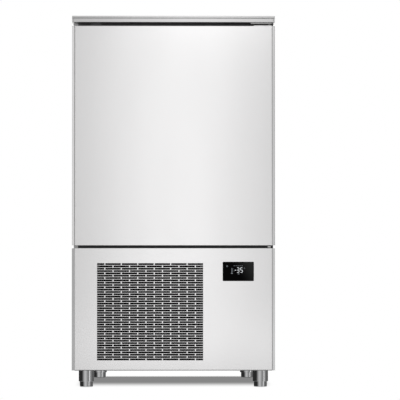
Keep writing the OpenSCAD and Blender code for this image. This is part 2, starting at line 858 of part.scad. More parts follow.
// Plate behind the condenser with the fan's round inlet
module condenser_shroud() {
    x = grille_mid_x;
    hole = cond_fan_d + 8;
    color(steel) difference() {
        union() {
            upright(shroud_y, shroud_y + shroud_t)
                translate([x - shroud_hw, shroud_z0]) square([2 * shroud_hw, shroud_z1 - shroud_z0]);
            bar_y(x, fan_z, hole + 2 * shroud_t, shroud_y, shroud_y + shroud_t + shroud_ring);
            block(
                [x - shroud_hw, shroud_y, shroud_z0],
                [x + shroud_hw, shroud_y + 20, shroud_z0 + shroud_t]
            );
        }
        bar_y(x, fan_z, hole, shroud_y - cut, shroud_y + shroud_t + shroud_ring + cut);
        // Room for the nuts of the front legs
        for (p = leg_places)
            translate([p.x, p.y, shroud_z0 - cut]) cylinder(h = nut_h + 3, d = nut_d + 6);
    }
}

module condenser_motor() {
    color(dark) arm_motor(
        grille_mid_x, fan_z, cond_motor_y0, cond_motor_l, cond_motor_d, cond_fan_y0 + 6.5,
        shroud_y + shroud_t, cond_fan_d / 2 + 18, 7
    );
}

module condenser_fan() {
    color(dark) axial_fan(grille_mid_x, fan_z, cond_fan_y0, cond_fan_t, cond_fan_d, 90, 5, 32);
}

// Upright receiver on a welded foot ring, with domed ends and two stubs
module liquid_receiver() {
    r = receiver_d / 2;
    dome = 25;
    color(dark) translate([receiver_x, receiver_y, 0]) difference() {
        union() {
            translate([0, 0, base_z0 + pan_t]) cylinder(h = dome + 10, r = r - 12);
            translate([0, 0, receiver_z0 + dome]) cylinder(h = receiver_h - 2 * dome, r = r);
            translate([0, 0, receiver_z0 + receiver_h - dome]) dome_cap(r, dome);
            translate([0, 0, receiver_z0 + dome]) rotate([180, 0, 0]) dome_cap(r, dome);
            translate([0, 0, receiver_z0 + receiver_h - 2]) cylinder(h = 12, d = line_d + 6);
            bar_x(0, liquid_z, line_d + 6, r - 5, r + 10);
        }
        translate([0, 0, receiver_z0 + receiver_h]) cylinder(h = 12, d = line_d + 2 * bore_clear);
        bar_x(0, liquid_z, line_d + 2 * bore_clear, r, r + 10 + cut);
    }
}

// Spun copper-steel drier with tapered ends, along Y
module filter_drier() {
    color(steel) translate([drier_x, drier_y0, liquid_z]) rotate([-90, 0, 0]) difference() {
        union() {
            translate([0, 0, 20]) cylinder(h = drier_l - 40, d = drier_d);
            cylinder(h = 20, d1 = line_d + 6, d2 = drier_d);
            translate([0, 0, drier_l - 20]) cylinder(h = 20, d1 = drier_d, d2 = line_d + 6);
        }
        for (z = [-cut, drier_l - 8])
            translate([0, 0, z]) cylinder(h = 8 + cut, d = line_d + 2 * bore_clear);
    }
}

// From the compressor's port to the top of the condenser
module discharge_pipe() {
    z = comp_z0 + discharge_port;
    top = grille_z1 - 25;
    mid_y = (cond_y0 + cond_y1) / 2;
    color(copper) pipe([
        [comp_x + comp_d / 2 + 0.2, comp_y, z],
        [pipe_x1, comp_y, z],
        [pipe_x1, mid_y, z],
        [pipe_x1, mid_y, top],
        [cond_right + 1, mid_y, top]
    ], discharge_d, 15);
}

// Condenser to receiver, receiver to drier, and drier to expansion valve
module liquid_pipes() {
    mid_y = (cond_y0 + cond_y1) / 2;
    low = grille_z0 + 25;
    over = receiver_z0 + receiver_h + 60;
    color(copper) {
        pipe([
            [cond_right + 1, mid_y, low],
            [pipe_x2, mid_y, low],
            [pipe_x2, mid_y, over],
            [pipe_x2, receiver_y, over],
            [receiver_x, receiver_y, over],
            [receiver_x, receiver_y, receiver_z0 + receiver_h]
        ], line_d);
        pipe([
            [receiver_x + receiver_d / 2 + 0.2, receiver_y, liquid_z],
            [drier_x, receiver_y, liquid_z],
            [drier_x, drier_y0 + 7, liquid_z]
        ], line_d);
        pipe([
            [drier_x, drier_y0 + drier_l - 7, liquid_z],
            [drier_x, liquid_y, liquid_z],
            [valve_x, liquid_y, liquid_z],
            [valve_x, liquid_y, valve_z0]
        ], line_d);
    }
}

// From the evaporator's outlet down through the floor to the compressor
module suction_pipe() {
    color(copper) pipe([
        [evap_w / 2 + 1, suction_y, suction_top],
        [suction_x, suction_y, suction_top],
        [suction_x, suction_y, suction_low],
        [comp_x, suction_y, suction_low],
        [comp_x, suction_y, comp_z0 + compressor_port],
        [comp_x, comp_y + comp_d / 2 + 0.2, comp_z0 + compressor_port]
    ], suction_d, 12);
}

// Thermostatic valve: body, power head and the outlet to the evaporator
module expansion_valve() {
    color(copper) translate([valve_x, liquid_y, valve_z0]) {
        cylinder(h = valve_h * 0.6, d = 24, $fn = 6);
        translate([0, 0, valve_h * 0.6]) cylinder(h = 8, d = 16);
        translate([0, 0, valve_h * 0.6 + 8]) cylinder(h = 10, d = 40);
        bar_x(0, valve_h * 0.3, line_d, -(valve_x - evap_w / 2 - 1), 0);
    }
}

// ---------------------------------------------------------------- evaporator and air

module evaporator_coil() {
    mid_y = (evap_y0 + evap_y1) / 2;
    end_x = evap_w / 2;
    color(fin_grey) {
        translate([0, mid_y, evap_z0]) fin_pack(evap_fins, evap_pitch, 1, 2, evap_depth, evap_z1 - evap_z0);
        for (s = [-1, 1]) {
            translate([s * end_x - 1, evap_y0, evap_z0])
                cube([2, chamber_y - seat - evap_y0, evap_z1 - evap_z0]);
            return_bends(s * end_x, mid_y, evap_z0, evap_z1, s, 9, 24);
        }
        translate([-end_x, mid_y - 1, evap_z0]) cube([2 * end_x, 2, evap_z1 - evap_z0]);
    }
}

// Air plate from floor to roof with two fan openings, and returns at its sides
module fan_baffle() {
    z0 = chamber_z0 + seat;
    z1 = chamber_z1 - seat;
    y1 = baffle_y + baffle_t;
    color(bright) difference() {
        union() {
            block([-baffle_hw, baffle_y, z0], [baffle_hw, y1, z1]);
            both_sides() block([baffle_hw - baffle_t, baffle_y, z0], [baffle_hw, baffle_y + 22, z1]);
        }
        for (z = evap_fan_z) bar_y(0, z, evap_hole, baffle_y - cut, y1 + cut);
    }
}

module evaporator_motors() {
    color(dark) for (z = evap_fan_z) arm_motor(
        0, z, evap_motor_y0, evap_motor_l, evap_motor_d, evap_fan_y0 + 6.5,
        baffle_y + baffle_t, evap_hole / 2 + 8, 6
    );
}

module evaporator_fan(z) {
    color(fin_grey) axial_fan(0, z, evap_fan_y0, evap_fan_t, evap_fan_d, 70, 5, 34);
}

// Round wire guards before the fan openings, each on four spacers
module fan_guards() {
    wire = 3;
    y1 = baffle_y - 8;
    outer = evap_hole / 2 + 10;
    rings = 6;
    color(bright) for (z = evap_fan_z) translate([0, 0, z]) {
        upright(y1 - wire, y1) {
            for (i = [1:rings]) difference() {
                circle(outer * i / rings);
                circle(outer * i / rings - wire);
            }
            for (a = [45, 135]) rotate(a) square([2 * outer - wire, wire], center = true);
        }
        for (a = [45:90:315]) rotate([0, a, 0]) bar_y(outer - wire, 0, 7, y1 + joint_gap, baffle_y);
    }
}

// Sloped-edge tray under the evaporator with its drain down through the floor
module drip_tray() {
    z0 = chamber_z0 + 8;
    y0 = baffle_y + 28;
    y1 = chamber_y - seat;
    hw = evap_w / 2 - 10;
    color(bright) difference() {
        union() {
            block([-hw, y0, z0], [hw, y1, z0 + 25]);
            translate([drain_x, drain_y, base_z1 - 50]) cylinder(h = z0 - base_z1 + 51, d = drain_d);
        }
        block([-hw + 1.5, y0 + 1.5, z0 + 1.5], [hw - 1.5, y1 - 1.5, z0 + 26]);
        translate([drain_x, drain_y, base_z1 - 51]) cylinder(h = z0 - base_z1 + 60, d = drain_d - 3);
    }
}

// ---------------------------------------------------------------- legs and feet

// Polished sleeve with a flange, a threaded boss inside and the bolt into the pan
module leg(i) {
    p = leg_places[i];
    z1 = base_z0;
    color(bright) translate([p.x, p.y, 0]) difference() {
        union() {
            translate([0, 0, foot_show]) cylinder(h = z1 - foot_show, d = leg_d);
            translate([0, 0, z1 - leg_flange_t]) cylinder(h = leg_flange_t, d = leg_flange_d);
            translate([0, 0, z1]) cylinder(h = 14, d = stud_d);
            translate([0, 0, z1 + pan_t]) cylinder(h = nut_h, d = nut_d, $fn = 6);
        }
        // Hollow below the boss, and the bore of the foot's stem
        translate([0, 0, foot_show - cut])
            cylinder(h = foot_neck_z + seat - foot_show + cut, d = leg_d - 2 * leg_wall);
        translate([0, 0, foot_show]) cylinder(h = z1 - leg_roof - foot_show, d = stem_d + 2 * bore_clear);
    }
}

// Screw foot: a round-edged puck that slides up into the sleeve, and its stem
module foot(i) {
    p = leg_places[i];
    edge = 4;
    color(bright) translate([p.x, p.y, 0]) {
        rotate_extrude() {
            square([foot_d / 2 - edge, foot_neck_z]);
            translate([0, edge]) square([foot_d / 2, foot_neck_z - edge]);
            translate([foot_d / 2 - edge, edge]) intersection() {
                circle(edge);
                translate([0, -edge]) square(edge);
            }
        }
        cylinder(h = base_z0 - leg_roof - 0.5, d = stem_d);
    }
}

// Pan-head screws of the back skins
module panel_screws() {
    color(bright) for (s = [-1, 1]) {
        for (z = cab_screw_z) screw([s * cab_screw_x, z]);
        for (z = base_screw_z) screw([s * base_screw_x, z]);
    }
}

module screw(at) {
    bar_y(at.x, at.y, screw_head_d, skin_y, skin_y + screw_head);
    bar_y(at.x, at.y, screw_d, skin_y - 2 * sheet, skin_y);
}

// ---------------------------------------------------------------- hinge

// Plate under the top panel, its leg on the cabinet front, and the upper pin
module hinge_bracket_top() {
    z1 = top_z0;
    z0 = z1 - bracket_t;
    color(steel) {
        block([bracket_left, face_y + 6, z0], [bracket_right, cab_y - seat, z1]);
        block(
            [bracket_right - bracket_leg_w, cab_y - seat - bracket_leg_t, z0 - 42],
            [bracket_right, cab_y - seat, z0]
        );
        translate([hinge_x, hinge_y, door_z1 - pin_l]) cylinder(h = z0 - door_z1 + pin_l, d = pin_d);
    }
}

// Plate on the ledge, its leg on the cabinet front, the lower pin and its collar
module hinge_bracket_bottom() {
    z0 = base_z1;
    z1 = z0 + low_bracket_t;
    color(steel) {
        block([hinge_x - low_nose, hinge_y - low_nose, z0], [bracket_right, cab_y - seat, z1]);
        block(
            [bracket_right - bracket_leg_w, cab_y - seat - bracket_leg_t, z1],
            [bracket_right, cab_y - seat, z1 + 42]
        );
        translate([hinge_x, hinge_y, z1]) {
            cylinder(h = collar_t, d = pin_d + 4);
            cylinder(h = door_z0 + pin_l - z1, d = pin_d);
        }
    }
}

// Flanged bushes let into the door at both ends of the hinge axis
module hinge_bushes() {
    color(bright) {
        hinge_bush(door_z1, 1, bracket_left + 12 - hinge_x, face_y + 6 - hinge_y);
        hinge_bush(door_z0, -1, -low_nose, -low_nose);
    }
}

// Bush at height z with its flange, which starts at x0 and y0 from the axis
module hinge_bush(z, up, x0, y0) {
    bore = pin_d + 2 * bore_clear;
    translate([hinge_x, hinge_y, z]) mirror([0, 0, up > 0 ? 0 : 1]) difference() {
        union() {
            block([x0, y0, 0], [11, door_back_y - 8 - hinge_y, bush_plate_t]);
            translate([0, 0, -bush_l]) cylinder(h = bush_l, d = bush_d);
        }
        translate([0, 0, -bush_l - cut]) cylinder(h = bush_l + bush_plate_t + 2 * cut, d = bore);
    }
}

// Proximity sensor under the top panel, over the free corner of the door
module door_sensor() {
    x = -body_w / 2 + 70;
    color(black) block([x, cab_y - 32, top_z0 - 11], [x + 42, cab_y - 16, top_z0]);
}

// ---------------------------------------------------------------- door

module door_skin() {
    color(steel) folded_panel(panel_hw, door_z0, door_z1);
}

// Inner sheet with its raised field
module door_inner_panel() {
    hw = body_w / 2;
    y0 = door_back_y - sheet;
    color(bright) difference() {
        union() {
            block([-hw, y0, door_z0], [hw, door_back_y, door_z1]);
            upright(y0, door_back_y + door_field) field_outline(0);
        }
        upright(y0 - cut, door_back_y + door_field - sheet) field_outline(sheet);
    }
}

module field_outline(inset) {
    translate([0, (field_z0 + field_z1) / 2])
        rounded_rect(2 * (field_hw - inset), field_z1 - field_z0 - 2 * inset, 14);
}

module door_foam() {
    z0 = door_z0 + cap_t;
    z1 = door_z1 - cap_t;
    color(foam_white) difference() {
        union() {
            block([grip_wall_x, face_y + sheet, z0], [panel_hw - skin_r, leg_y0, z1]);
            block([grip_wall_x, leg_y0, z0], [edge_leg_x, back_leg_y1, z1]);
            block([edge_leg_x - cut, leg_y0 + profile_t, z0], [edge_wall_x, back_leg_y1 - profile_t, z1]);
            upright(back_leg_y1 - cut, door_back_y + door_field - sheet) field_outline(sheet);
        }
        for (z = [door_z0, door_z1 - bush_l])
            translate([hinge_x, hinge_y, z - cut]) cylinder(h = bush_l + 2 * cut, d = bush_d);
    }
}

// Seal: a base in the panel, a waist and a soft lip that stops just before the frame
module door_seal() {
    steps = [[0, 3, 0], [3, seal_gap - 8, 4], [seal_gap - 8, seal_gap - seat, 0]];
    color(dark) for (s = steps)
        upright(door_back_y + s[0], door_back_y + s[1]) difference() {
            seal_outline(seal_hw - s[2], seal_z0 + s[2], seal_z1 - s[2]);
            seal_outline(
                seal_hw - seal_w + s[2],
                seal_z0 + seal_w - s[2],
                seal_z1 - seal_w + s[2]
            );
        }
}

module seal_outline(hw, z0, z1) {
    translate([-hw, z0]) square([2 * hw, z1 - z0]);
}

// Left edge profile, a full-height finger recess open to the side
module door_grip() {
    x0 = -body_w / 2;
    x1 = grip_wall_x;
    color(bright) translate([0, 0, door_z0 + cap_t]) linear_extrude(door_h - 2 * cap_t) {
        translate([x0, leg_y0]) square([x1 - x0, profile_t]);
        translate([x1 - profile_t, leg_y0]) square([profile_t, back_leg_y1 - leg_y0]);
        translate([x0, back_leg_y1 - profile_t]) square([x1 - x0, profile_t]);
        translate([x0, leg_y0]) square([lip, lip_len]);
        translate([x0, back_leg_y1 - lip_len]) square([lip, lip_len]);
    }
}

// Right edge profile, closed to the side
module door_edge() {
    x1 = body_w / 2;
    color(bright) translate([0, 0, door_z0 + cap_t]) linear_extrude(door_h - 2 * cap_t) {
        translate([edge_leg_x, leg_y0]) square([x1 - edge_leg_x, profile_t]);
        translate([edge_wall_x, leg_y0]) square([profile_t, back_leg_y1 - leg_y0]);
        translate([edge_leg_x, back_leg_y1 - profile_t]) square([x1 - edge_leg_x, profile_t]);
    }
}

// Caps that close the two ends of the door
module door_end_caps() {
    hw = body_w / 2;
    color(bright) for (z = [door_z0, door_z1 - cap_t]) difference() {
        block([-hw, leg_y0, z], [hw, back_leg_y1, z + cap_t]);
        translate([hinge_x, hinge_y, z - cut]) cylinder(h = cap_t + 2 * cut, d = bush_d);
    }
}

// ---------------------------------------------------------------- racks

// Two bars with keyholes that hang on the liner's studs
module rack() {
    z0 = level_z[0] - 20;
    z1 = level_z[levels - 1] + 30;
    color(bright) for (y = [rack_y0, rack_y1]) difference() {
        block([bar_in, y - bar_w / 2, z0], [bar_x, y + bar_w / 2, z1]);
        for (i = stud_levels) {
            z = stud_z(i);
            slot_w = rack_stud_d + 2 * seat;
            drop = rack_lift + 2;
            bar_x(y, z, slot_w, bar_in - cut, bar_x + cut);
            block([bar_in - cut, y - slot_w / 2, z - drop], [bar_x + cut, y + slot_w / 2, z]);
            bar_x(y, z - drop, rack_head_d + 1.5, bar_in - cut, bar_x + cut);
        }
    }
}

// One U-shaped rod per level, welded to both bars
module runners() {
    color(bright) for (z = level_z) pipe([
        [bar_in, rack_y0, z],
        [runner_x, rack_y0, z],
        [runner_x, rack_y1, z],
        [bar_in, rack_y1, z]
    ], rod_d, runner_bend);
}

// ---------------------------------------------------------------- nodes

top_panel();
mirror([1, 0, 0]) side_panel();  // side_panel_left
side_panel();  // side_panel_right
back_panel();
insulation_foam();
inner_liner();
opening_frame();
base_pan();
mirror([1, 0, 0]) base_side();  // base_side_left
base_side();  // base_side_right
base_rear_panel();
front_panel();
display_glass();
display_housing();
control_board();
hinge_bracket_top();
hinge_bracket_bottom();
door_sensor();
compressor();
compressor_mounts();
condenser_coil();
condenser_shroud();
condenser_motor();
liquid_receiver();
filter_drier();
discharge_pipe();
liquid_pipes();
suction_pipe();
expansion_valve();
electrical_box();
supply_gland();
evaporator_coil();
fan_baffle();
evaporator_motors();
fan_guards();
drip_tray();
leg(0);  // leg_front_left
leg(1);  // leg_front_right
leg(2);  // leg_rear_left
leg(3);  // leg_rear_right
panel_screws();
door_skin();
door_inner_panel();
door_foam();
door_seal();
door_grip();
door_edge();
door_end_caps();
hinge_bushes();
condenser_fan();
evaporator_fan(evap_fan_z[0]);  // evaporator_fan_upper
evaporator_fan(evap_fan_z[1]);  // evaporator_fan_lower
foot(0);  // foot_front_left
foot(1);  // foot_front_right
foot(2);  // foot_rear_left
foot(3);  // foot_rear_right
mirror([1, 0, 0]) rack();  // rack_left
rack();  // rack_right
mirror([1, 0, 0]) runners();  // runners_left
runners();  // runners_right
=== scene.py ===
"""Looks of an upright blast chiller: ground steel finishes, with darker copies that paint shade, softened
sheet edges and turned legs.

It also makes the rims of the grille's slots, the hem and the beads at the joints, whose dark finish paints
the shade there, the figures on the display, and the white studio with its lamps and camera.
"""

import json
import logging
import math
from collections.abc import Callable, Iterable
from dataclasses import dataclass
from enum import Enum

import bpy
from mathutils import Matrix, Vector


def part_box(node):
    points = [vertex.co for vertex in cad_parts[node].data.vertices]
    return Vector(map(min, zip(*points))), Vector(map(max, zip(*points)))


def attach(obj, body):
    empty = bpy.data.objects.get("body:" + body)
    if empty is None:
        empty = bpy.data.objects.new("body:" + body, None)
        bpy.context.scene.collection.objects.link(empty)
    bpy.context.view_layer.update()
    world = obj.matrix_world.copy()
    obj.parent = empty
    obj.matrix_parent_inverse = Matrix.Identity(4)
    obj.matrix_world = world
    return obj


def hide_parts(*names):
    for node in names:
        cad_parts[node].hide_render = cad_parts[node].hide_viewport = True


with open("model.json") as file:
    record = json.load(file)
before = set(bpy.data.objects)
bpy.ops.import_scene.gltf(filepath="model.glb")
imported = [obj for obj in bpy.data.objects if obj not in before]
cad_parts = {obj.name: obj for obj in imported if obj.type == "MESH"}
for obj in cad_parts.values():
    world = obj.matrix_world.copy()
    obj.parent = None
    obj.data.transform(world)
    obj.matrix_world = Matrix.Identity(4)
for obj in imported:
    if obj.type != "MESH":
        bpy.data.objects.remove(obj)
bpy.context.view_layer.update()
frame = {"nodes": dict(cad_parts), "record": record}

logging.basicConfig(level=logging.INFO, format="%(message)s")
log = logging.getLogger("blast_chiller")

# Lengths are in metres.
MM = 0.001
LEG_PLACES = ("front_left", "front_right", "rear_left", "rear_right")

# The top panel reaches both sides, the front and the full height of the machine.
(LEFT_X, FRONT_Y, _), (RIGHT_X, _, TOP_Z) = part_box("top_panel")

Colour = tuple[float, float, float]
Triple = tuple[float, float, float]
Span = tuple[float, float]
Settings = dict[str, object]
Inputs = dict[str | int, object]
FaceTest = Callable[[Vector, Vector], bool]


# ---------------- the photograph's framing


@dataclass(frozen=True)
class Framing:
    """Where the front of the machine stands in the 400 x 400 frame, and how far off the camera is.

    The pixel values are the outer edges of the front as seen in the frame.
    """

    frame_px: float = 400.0
    left_px: float = 71.9
    right_px: float = 275.05
    top_px: float = 15.5
    width: float = RIGHT_X - LEFT_X
    height: float = TOP_Z
    distance: float = 9.0
    eye_height: float = 0.545
    sensor_mm: float = 36.0

    @property
    def px_per_m(self) -> float:
        """Scale on the plane of the door."""
        return (self.right_px - self.left_px) / self.width

    @property
    def focal_px(self) -> float:
        """Focal length in pixels of the frame."""
        return self.px_per_m * self.distance

    @property
    def lens_mm(self) -> float:
        """Focal length on the sensor."""
        return self.focal_px * self.sensor_mm / self.frame_px

    @property
    def yaw(self) -> float:
        """Turn to the right that puts the machine left of the middle."""
        middle = (self.left_px + self.right_px) / 2
        return math.atan((self.frame_px / 2 - middle) / self.focal_px)

    @property
    def pitch(self) -> float:
        """Upward tilt that puts the top edge at its height in the frame."""
        horizon = self.top_px + self.px_per_m * (self.height - self.eye_height)
        return math.atan((horizon - self.frame_px / 2) / self.focal_px)


# ---------------- shader maths


@dataclass(frozen=True)
class Pattern:
    """A noise over a piece: its scale, detail and roughness, and how fast it changes along each axis."""

    scale: float
    detail: float = 2.0
    roughness: float = 0.5
    pace: Triple = (1.0, 1.0, 1.0)


class Signal:
    """A shader socket that takes part in arithmetic; each operation adds one Math node."""

    def __init__(self, nodes: "NodeSheet", socket: bpy.types.NodeSocket | None) -> None:
        """Wraps a socket of the given sheet; it is empty where a node has no output."""
        self.nodes = nodes
        self.socket = socket

    def _math(self, operation: str, *values: "Signal | float") -> "Signal":
        """Adds a Math node.

        Args:
            operation: The node's operation.
            values: Its inputs, in order.

        Returns:
            The result as a signal.
        """
        return self.nodes.add("ShaderNodeMath", {"operation": operation}, dict(enumerate(values)))

    def __add__(self, other: "Signal | float") -> "Signal":
        """Sum."""
        return self._math("ADD", self, other)

    def __sub__(self, other: "Signal | float") -> "Signal":
        """Difference."""
        return self._math("SUBTRACT", self, other)

    def __rsub__(self, other: float) -> "Signal":
        """Difference from a number."""
        return self._math("SUBTRACT", other, self)

    def __mul__(self, other: "Signal | float") -> "Signal":
        """Product."""
        return self._math("MULTIPLY", self, other)

    __radd__ = __add__
    __rmul__ = __mul__

    def turn_from(self, ahead: "Signal") -> "Signal":
        """Angle in degrees of a point that lies this far to the right and so far ahead."""
        return self._math("ARCTAN2", self, ahead) * math.degrees(1.0)

    def clipped(self) -> "Signal":
        """The signal held between 0 and 1."""
        return self.nodes.add("ShaderNodeClamp", {}, {"Value": self})

    def spread(self, low: float, high: float) -> "Signal":
        """Maps a range smoothly onto 0 to 1.

        Args:
            low: Where the result starts to rise from 0.
            high: Where it reaches 1.

        Returns:
            The mapped signal.
        """
        values = {"Value": self, "From Min": low, "From Max": high}
        return self.nodes.add("ShaderNodeMapRange", {"interpolation_type": "SMOOTHSTEP"}, values)


class NodeSheet:
    """The node tree of one material or world, filled node by node."""

    def __init__(self, tree: bpy.types.NodeTree) -> None:
        """Empties the tree."""
        self.tree = tree
        tree.nodes.clear()

    def add(
        self,
        kind: str,
        settings: Settings | None = None,
        values: Inputs | None = None,
        output: str | int = 0,
    ) -> Signal:
        """Adds a node, wires its inputs and hands on one of its outputs.

        Args:
            kind: The node's type.
            settings: Attributes, set before the inputs.
            values: Socket name or number to a number, colour, vector or signal.
            output: The output wanted.

        Returns:
            That output.
        """
        node = self.tree.nodes.new(kind)
        for name, value in (settings or {}).items():
            setattr(node, name, value)
        for name, value in (values or {}).items():
            if isinstance(value, Signal):
                self.tree.links.new(value.socket, node.inputs[name])
            else:
                node.inputs[name].default_value = value
        return Signal(self, node.outputs[output] if node.outputs else None)

    def position(self, pace: Triple = (1.0, 1.0, 1.0)) -> Signal:
        """Object coordinates, multiplied by a pace on each axis."""
        place = self.add("ShaderNodeTexCoord", output="Object")
        return self.add("ShaderNodeMapping", values={"Vector": place, "Scale": pace})

    def coordinate(self, axis: str) -> Signal:
        """One object coordinate, in metres."""
        return self.add("ShaderNodeSeparateXYZ", values={"Vector": self.position()}, output=axis)

    def noise(self, pattern: Pattern) -> Signal:
        """The noise of a pattern, between 0 and 1."""
        values = {
            "Vector": self.position(pattern.pace),
            "Scale": pattern.scale,
            "Detail": pattern.detail,
            "Roughness": pattern.roughness,
        }
        return self.add("ShaderNodeTexNoise", values=values, output="Fac")

    def blend(self, factor: Signal, low: Colour, high: Colour) -> Signal:
        """Colour between two colours."""
        values = {"Factor": factor, 6: (*low, 1.0), 7: (*high, 1.0)}
        return self.add("ShaderNodeMix", {"data_type": "RGBA"}, values, output=2)

    def bump(self, height: Signal, strength: float, depth: float) -> Signal:
        """Normal from a height that spans a depth."""
        values = {"Height": height, "Strength": strength, "Distance": depth}
        return self.add("ShaderNodeBump", values=values)

    def mix(self, factor: Signal, first: Signal, second: Signal) -> Signal:
        """The first shader where the factor is 0, and the second where it is 1."""
        return self.add("ShaderNodeMixShader", values={0: factor, 1: first, 2: second})

    def output(self, shader: Signal, kind: str = "ShaderNodeOutputMaterial") -> None:
        """Makes a shader the surface of the material or world."""
        self.add(kind, values={"Surface": shader})


def new_material(name: str) -> tuple[bpy.types.Material, NodeSheet]:
    """A material with nothing in it, and its sheet."""
    material = bpy.data.materials.new(name)
    material.use_nodes = True
    return material, NodeSheet(material.node_tree)


# ---------------- finishes


def scaled(colour: Colour, factor: float) -> Colour:
    """A colour made darker or lighter."""
    return tuple(min(1.0, part * factor) for part in colour)


@dataclass(frozen=True)
class Finish:
    """A finish of the machine, told by its name, colour and gloss."""

    name: str
    colour: Colour
    roughness: float
    metallic: float = 0.0
    coat: float = 0.0
    gloss_level: float = 0.5

    def surface(self, sheet: NodeSheet) -> dict[str, Signal]:
        """What varies over the surface: shader socket to signal."""
        return {}

    def fixed(self) -> dict[str, object]:
        """What is the same all over: shader socket to value."""
        return {
            "Base Color": (*self.colour, 1.0),
            "Roughness": self.roughness,
            "Metallic": self.metallic,
            "Coat Weight": self.coat,
            "Specular IOR Level": self.gloss_level,
        }

    def build(self) -> bpy.types.Material:
        """Makes the material.

        Returns:
            The finished material.
        """
        material, sheet = new_material(self.name)
        values = {**self.fixed(), **self.surface(sheet)}
        sheet.output(sheet.add("ShaderNodeBsdfPrincipled", values=values))
        material.diffuse_color = (*self.colour, 1.0)
        return material


class Grain(Enum):
    """Direction of the grinding lines, as the pace of their noise on each axis."""

    UPRIGHT = (1.0, 1.0, 0.012)
    LEVEL = (0.012, 0.012, 1.0)


@dataclass(frozen=True)
class GroundSteel(Finish):
    """Stainless sheet with fine grinding lines and the faint clouding of rolled steel."""

    grain: Grain = Grain.UPRIGHT
    line_scale: float = 2600.0
    line_strength: float = 0.10
    line_depth: float = 0.2 * MM
    line_gloss: float = 0.06
    clouds: Pattern = Pattern(3.2, pace=(1.0, 1.0, 0.2))
    tone_span: Span = (0.3, 0.7)
    dimmed: float = 0.955
    wipes: Pattern = Pattern(9.0, roughness=0.55, pace=(1.0, 1.0, 0.3))
    wipe_span: Span = (0.3, 0.85)
    wipe_gloss: float = 0.018
    gloss_bias: float = -0.045

    def surface(self, sheet: NodeSheet) -> dict[str, Signal]:
        """Lines in the gloss and the relief, and clouds in the colour."""
        lines = sheet.noise(Pattern(self.line_scale, detail=3.0, roughness=0.6, pace=self.grain.value))
        tone = ((sheet.noise(self.clouds) + lines) * 0.5).spread(*self.tone_span)
        wipes = sheet.noise(self.wipes).spread(*self.wipe_span)
        gloss = self.roughness + self.gloss_bias + lines * self.line_gloss + wipes * self.wipe_gloss
        return {
            "Base Color": sheet.blend(tone, scaled(self.colour, self.dimmed), self.colour),
            "Roughness": gloss,
            "Normal": sheet.bump(lines, self.line_strength, self.line_depth),
        }


@dataclass(frozen=True)
class PolishedSteel(Finish):
    """Turned and polished tube with rings left by the buffing wheel."""

    rings: Pattern = Pattern(1400.0, pace=(0.02, 0.02, 1.0))
    ring_strength: float = 0.05
    ring_depth: float = 0.1 * MM
    haze_and_sheen: Pattern = Pattern(45.0)
    haze_and_sheen_span: Span = (0.4, 0.75)
    haze_gloss: float = 0.07
    dimmed: float = 0.93

    def surface(self, sheet: NodeSheet) -> dict[str, Signal]:
        """Rings round the tube, and finger haze."""
        haze_and_sheen = sheet.noise(self.haze_and_sheen)
        return {
            "Base Color": sheet.blend(haze_and_sheen, scaled(self.colour, self.dimmed), self.colour),
            "Roughness": self.roughness + haze_and_sheen.spread(*self.haze_and_sheen_span) * self.haze_gloss,
            "Normal": sheet.bump(sheet.noise(self.rings), self.ring_strength, self.ring_depth),
        }


@dataclass(frozen=True)
class Moulded(Finish):
    """Moulded plastic, rubber or foam with a fine texture."""

    texture: Pattern = Pattern(900.0)
    texture_strength: float = 0.15
    texture_depth: float = 0.3 * MM
    texture_gloss: float = 0.12
    dust: Pattern = Pattern(12.0, 3.0)
    dust_span: Span = (0.35, 0.75)
    lighter: float = 1.35

    def surface(self, sheet: NodeSheet) -> dict[str, Signal]:
        """A fine texture, with dust that lightens it in patches."""
        fine = sheet.noise(self.texture)
        dust = sheet.noise(self.dust).spread(*self.dust_span)
        return {
            "Base Color": sheet.blend(dust, self.colour, scaled(self.colour, self.lighter)),
            "Roughness": self.roughness + (fine - 0.5) * self.texture_gloss,
            "Normal": sheet.bump(fine, self.texture_strength, self.texture_depth),
        }


@dataclass(frozen=True)
class Enamel(Finish):
    """Sprayed enamel with orange peel."""

    peel: Pattern = Pattern(260.0, 1.0)
    peel_strength: float = 0.12
    peel_depth: float = 0.3 * MM
    dust: Pattern = Pattern(8.0, 3.0)
    dust_span: Span = (0.45, 0.8)
    dust_colour: Colour = (0.0324, 0.0324, 0.034)
    dust_gloss: float = 0.15

    def surface(self, sheet: NodeSheet) -> dict[str, Signal]:
        """Orange peel, and a light film of dust."""
        dust = sheet.noise(self.dust).spread(*self.dust_span)
        return {
            "Base Color": sheet.blend(dust, self.colour, self.dust_colour),
            "Roughness": self.roughness + dust * self.dust_gloss,
            "Normal": sheet.bump(sheet.noise(self.peel), self.peel_strength, self.peel_depth),
        }


@dataclass(frozen=True)
class DulledMetal(Finish):
    """Bare metal with darker tarnish, for pipes and fins."""

    tarnish: Colour = (0.26, 0.12, 0.07)
    patches: Pattern = Pattern(30.0, 4.0, 0.6)
    patch_span: Span = (0.42, 0.68)
    patch_gloss: float = 0.2
    patch_strength: float = 0.05
    patch_depth: float = 0.2 * MM

    def surface(self, sheet: NodeSheet) -> dict[str, Signal]:
        """Tarnish in patches, which also dulls the gloss."""
        patches = sheet.noise(self.patches).spread(*self.patch_span)
        return {
            "Base Color": sheet.blend(patches, self.colour, self.tarnish),
            "Roughness": self.roughness + patches * self.patch_gloss,
            "Normal": sheet.bump(patches, self.patch_strength, self.patch_depth),
        }


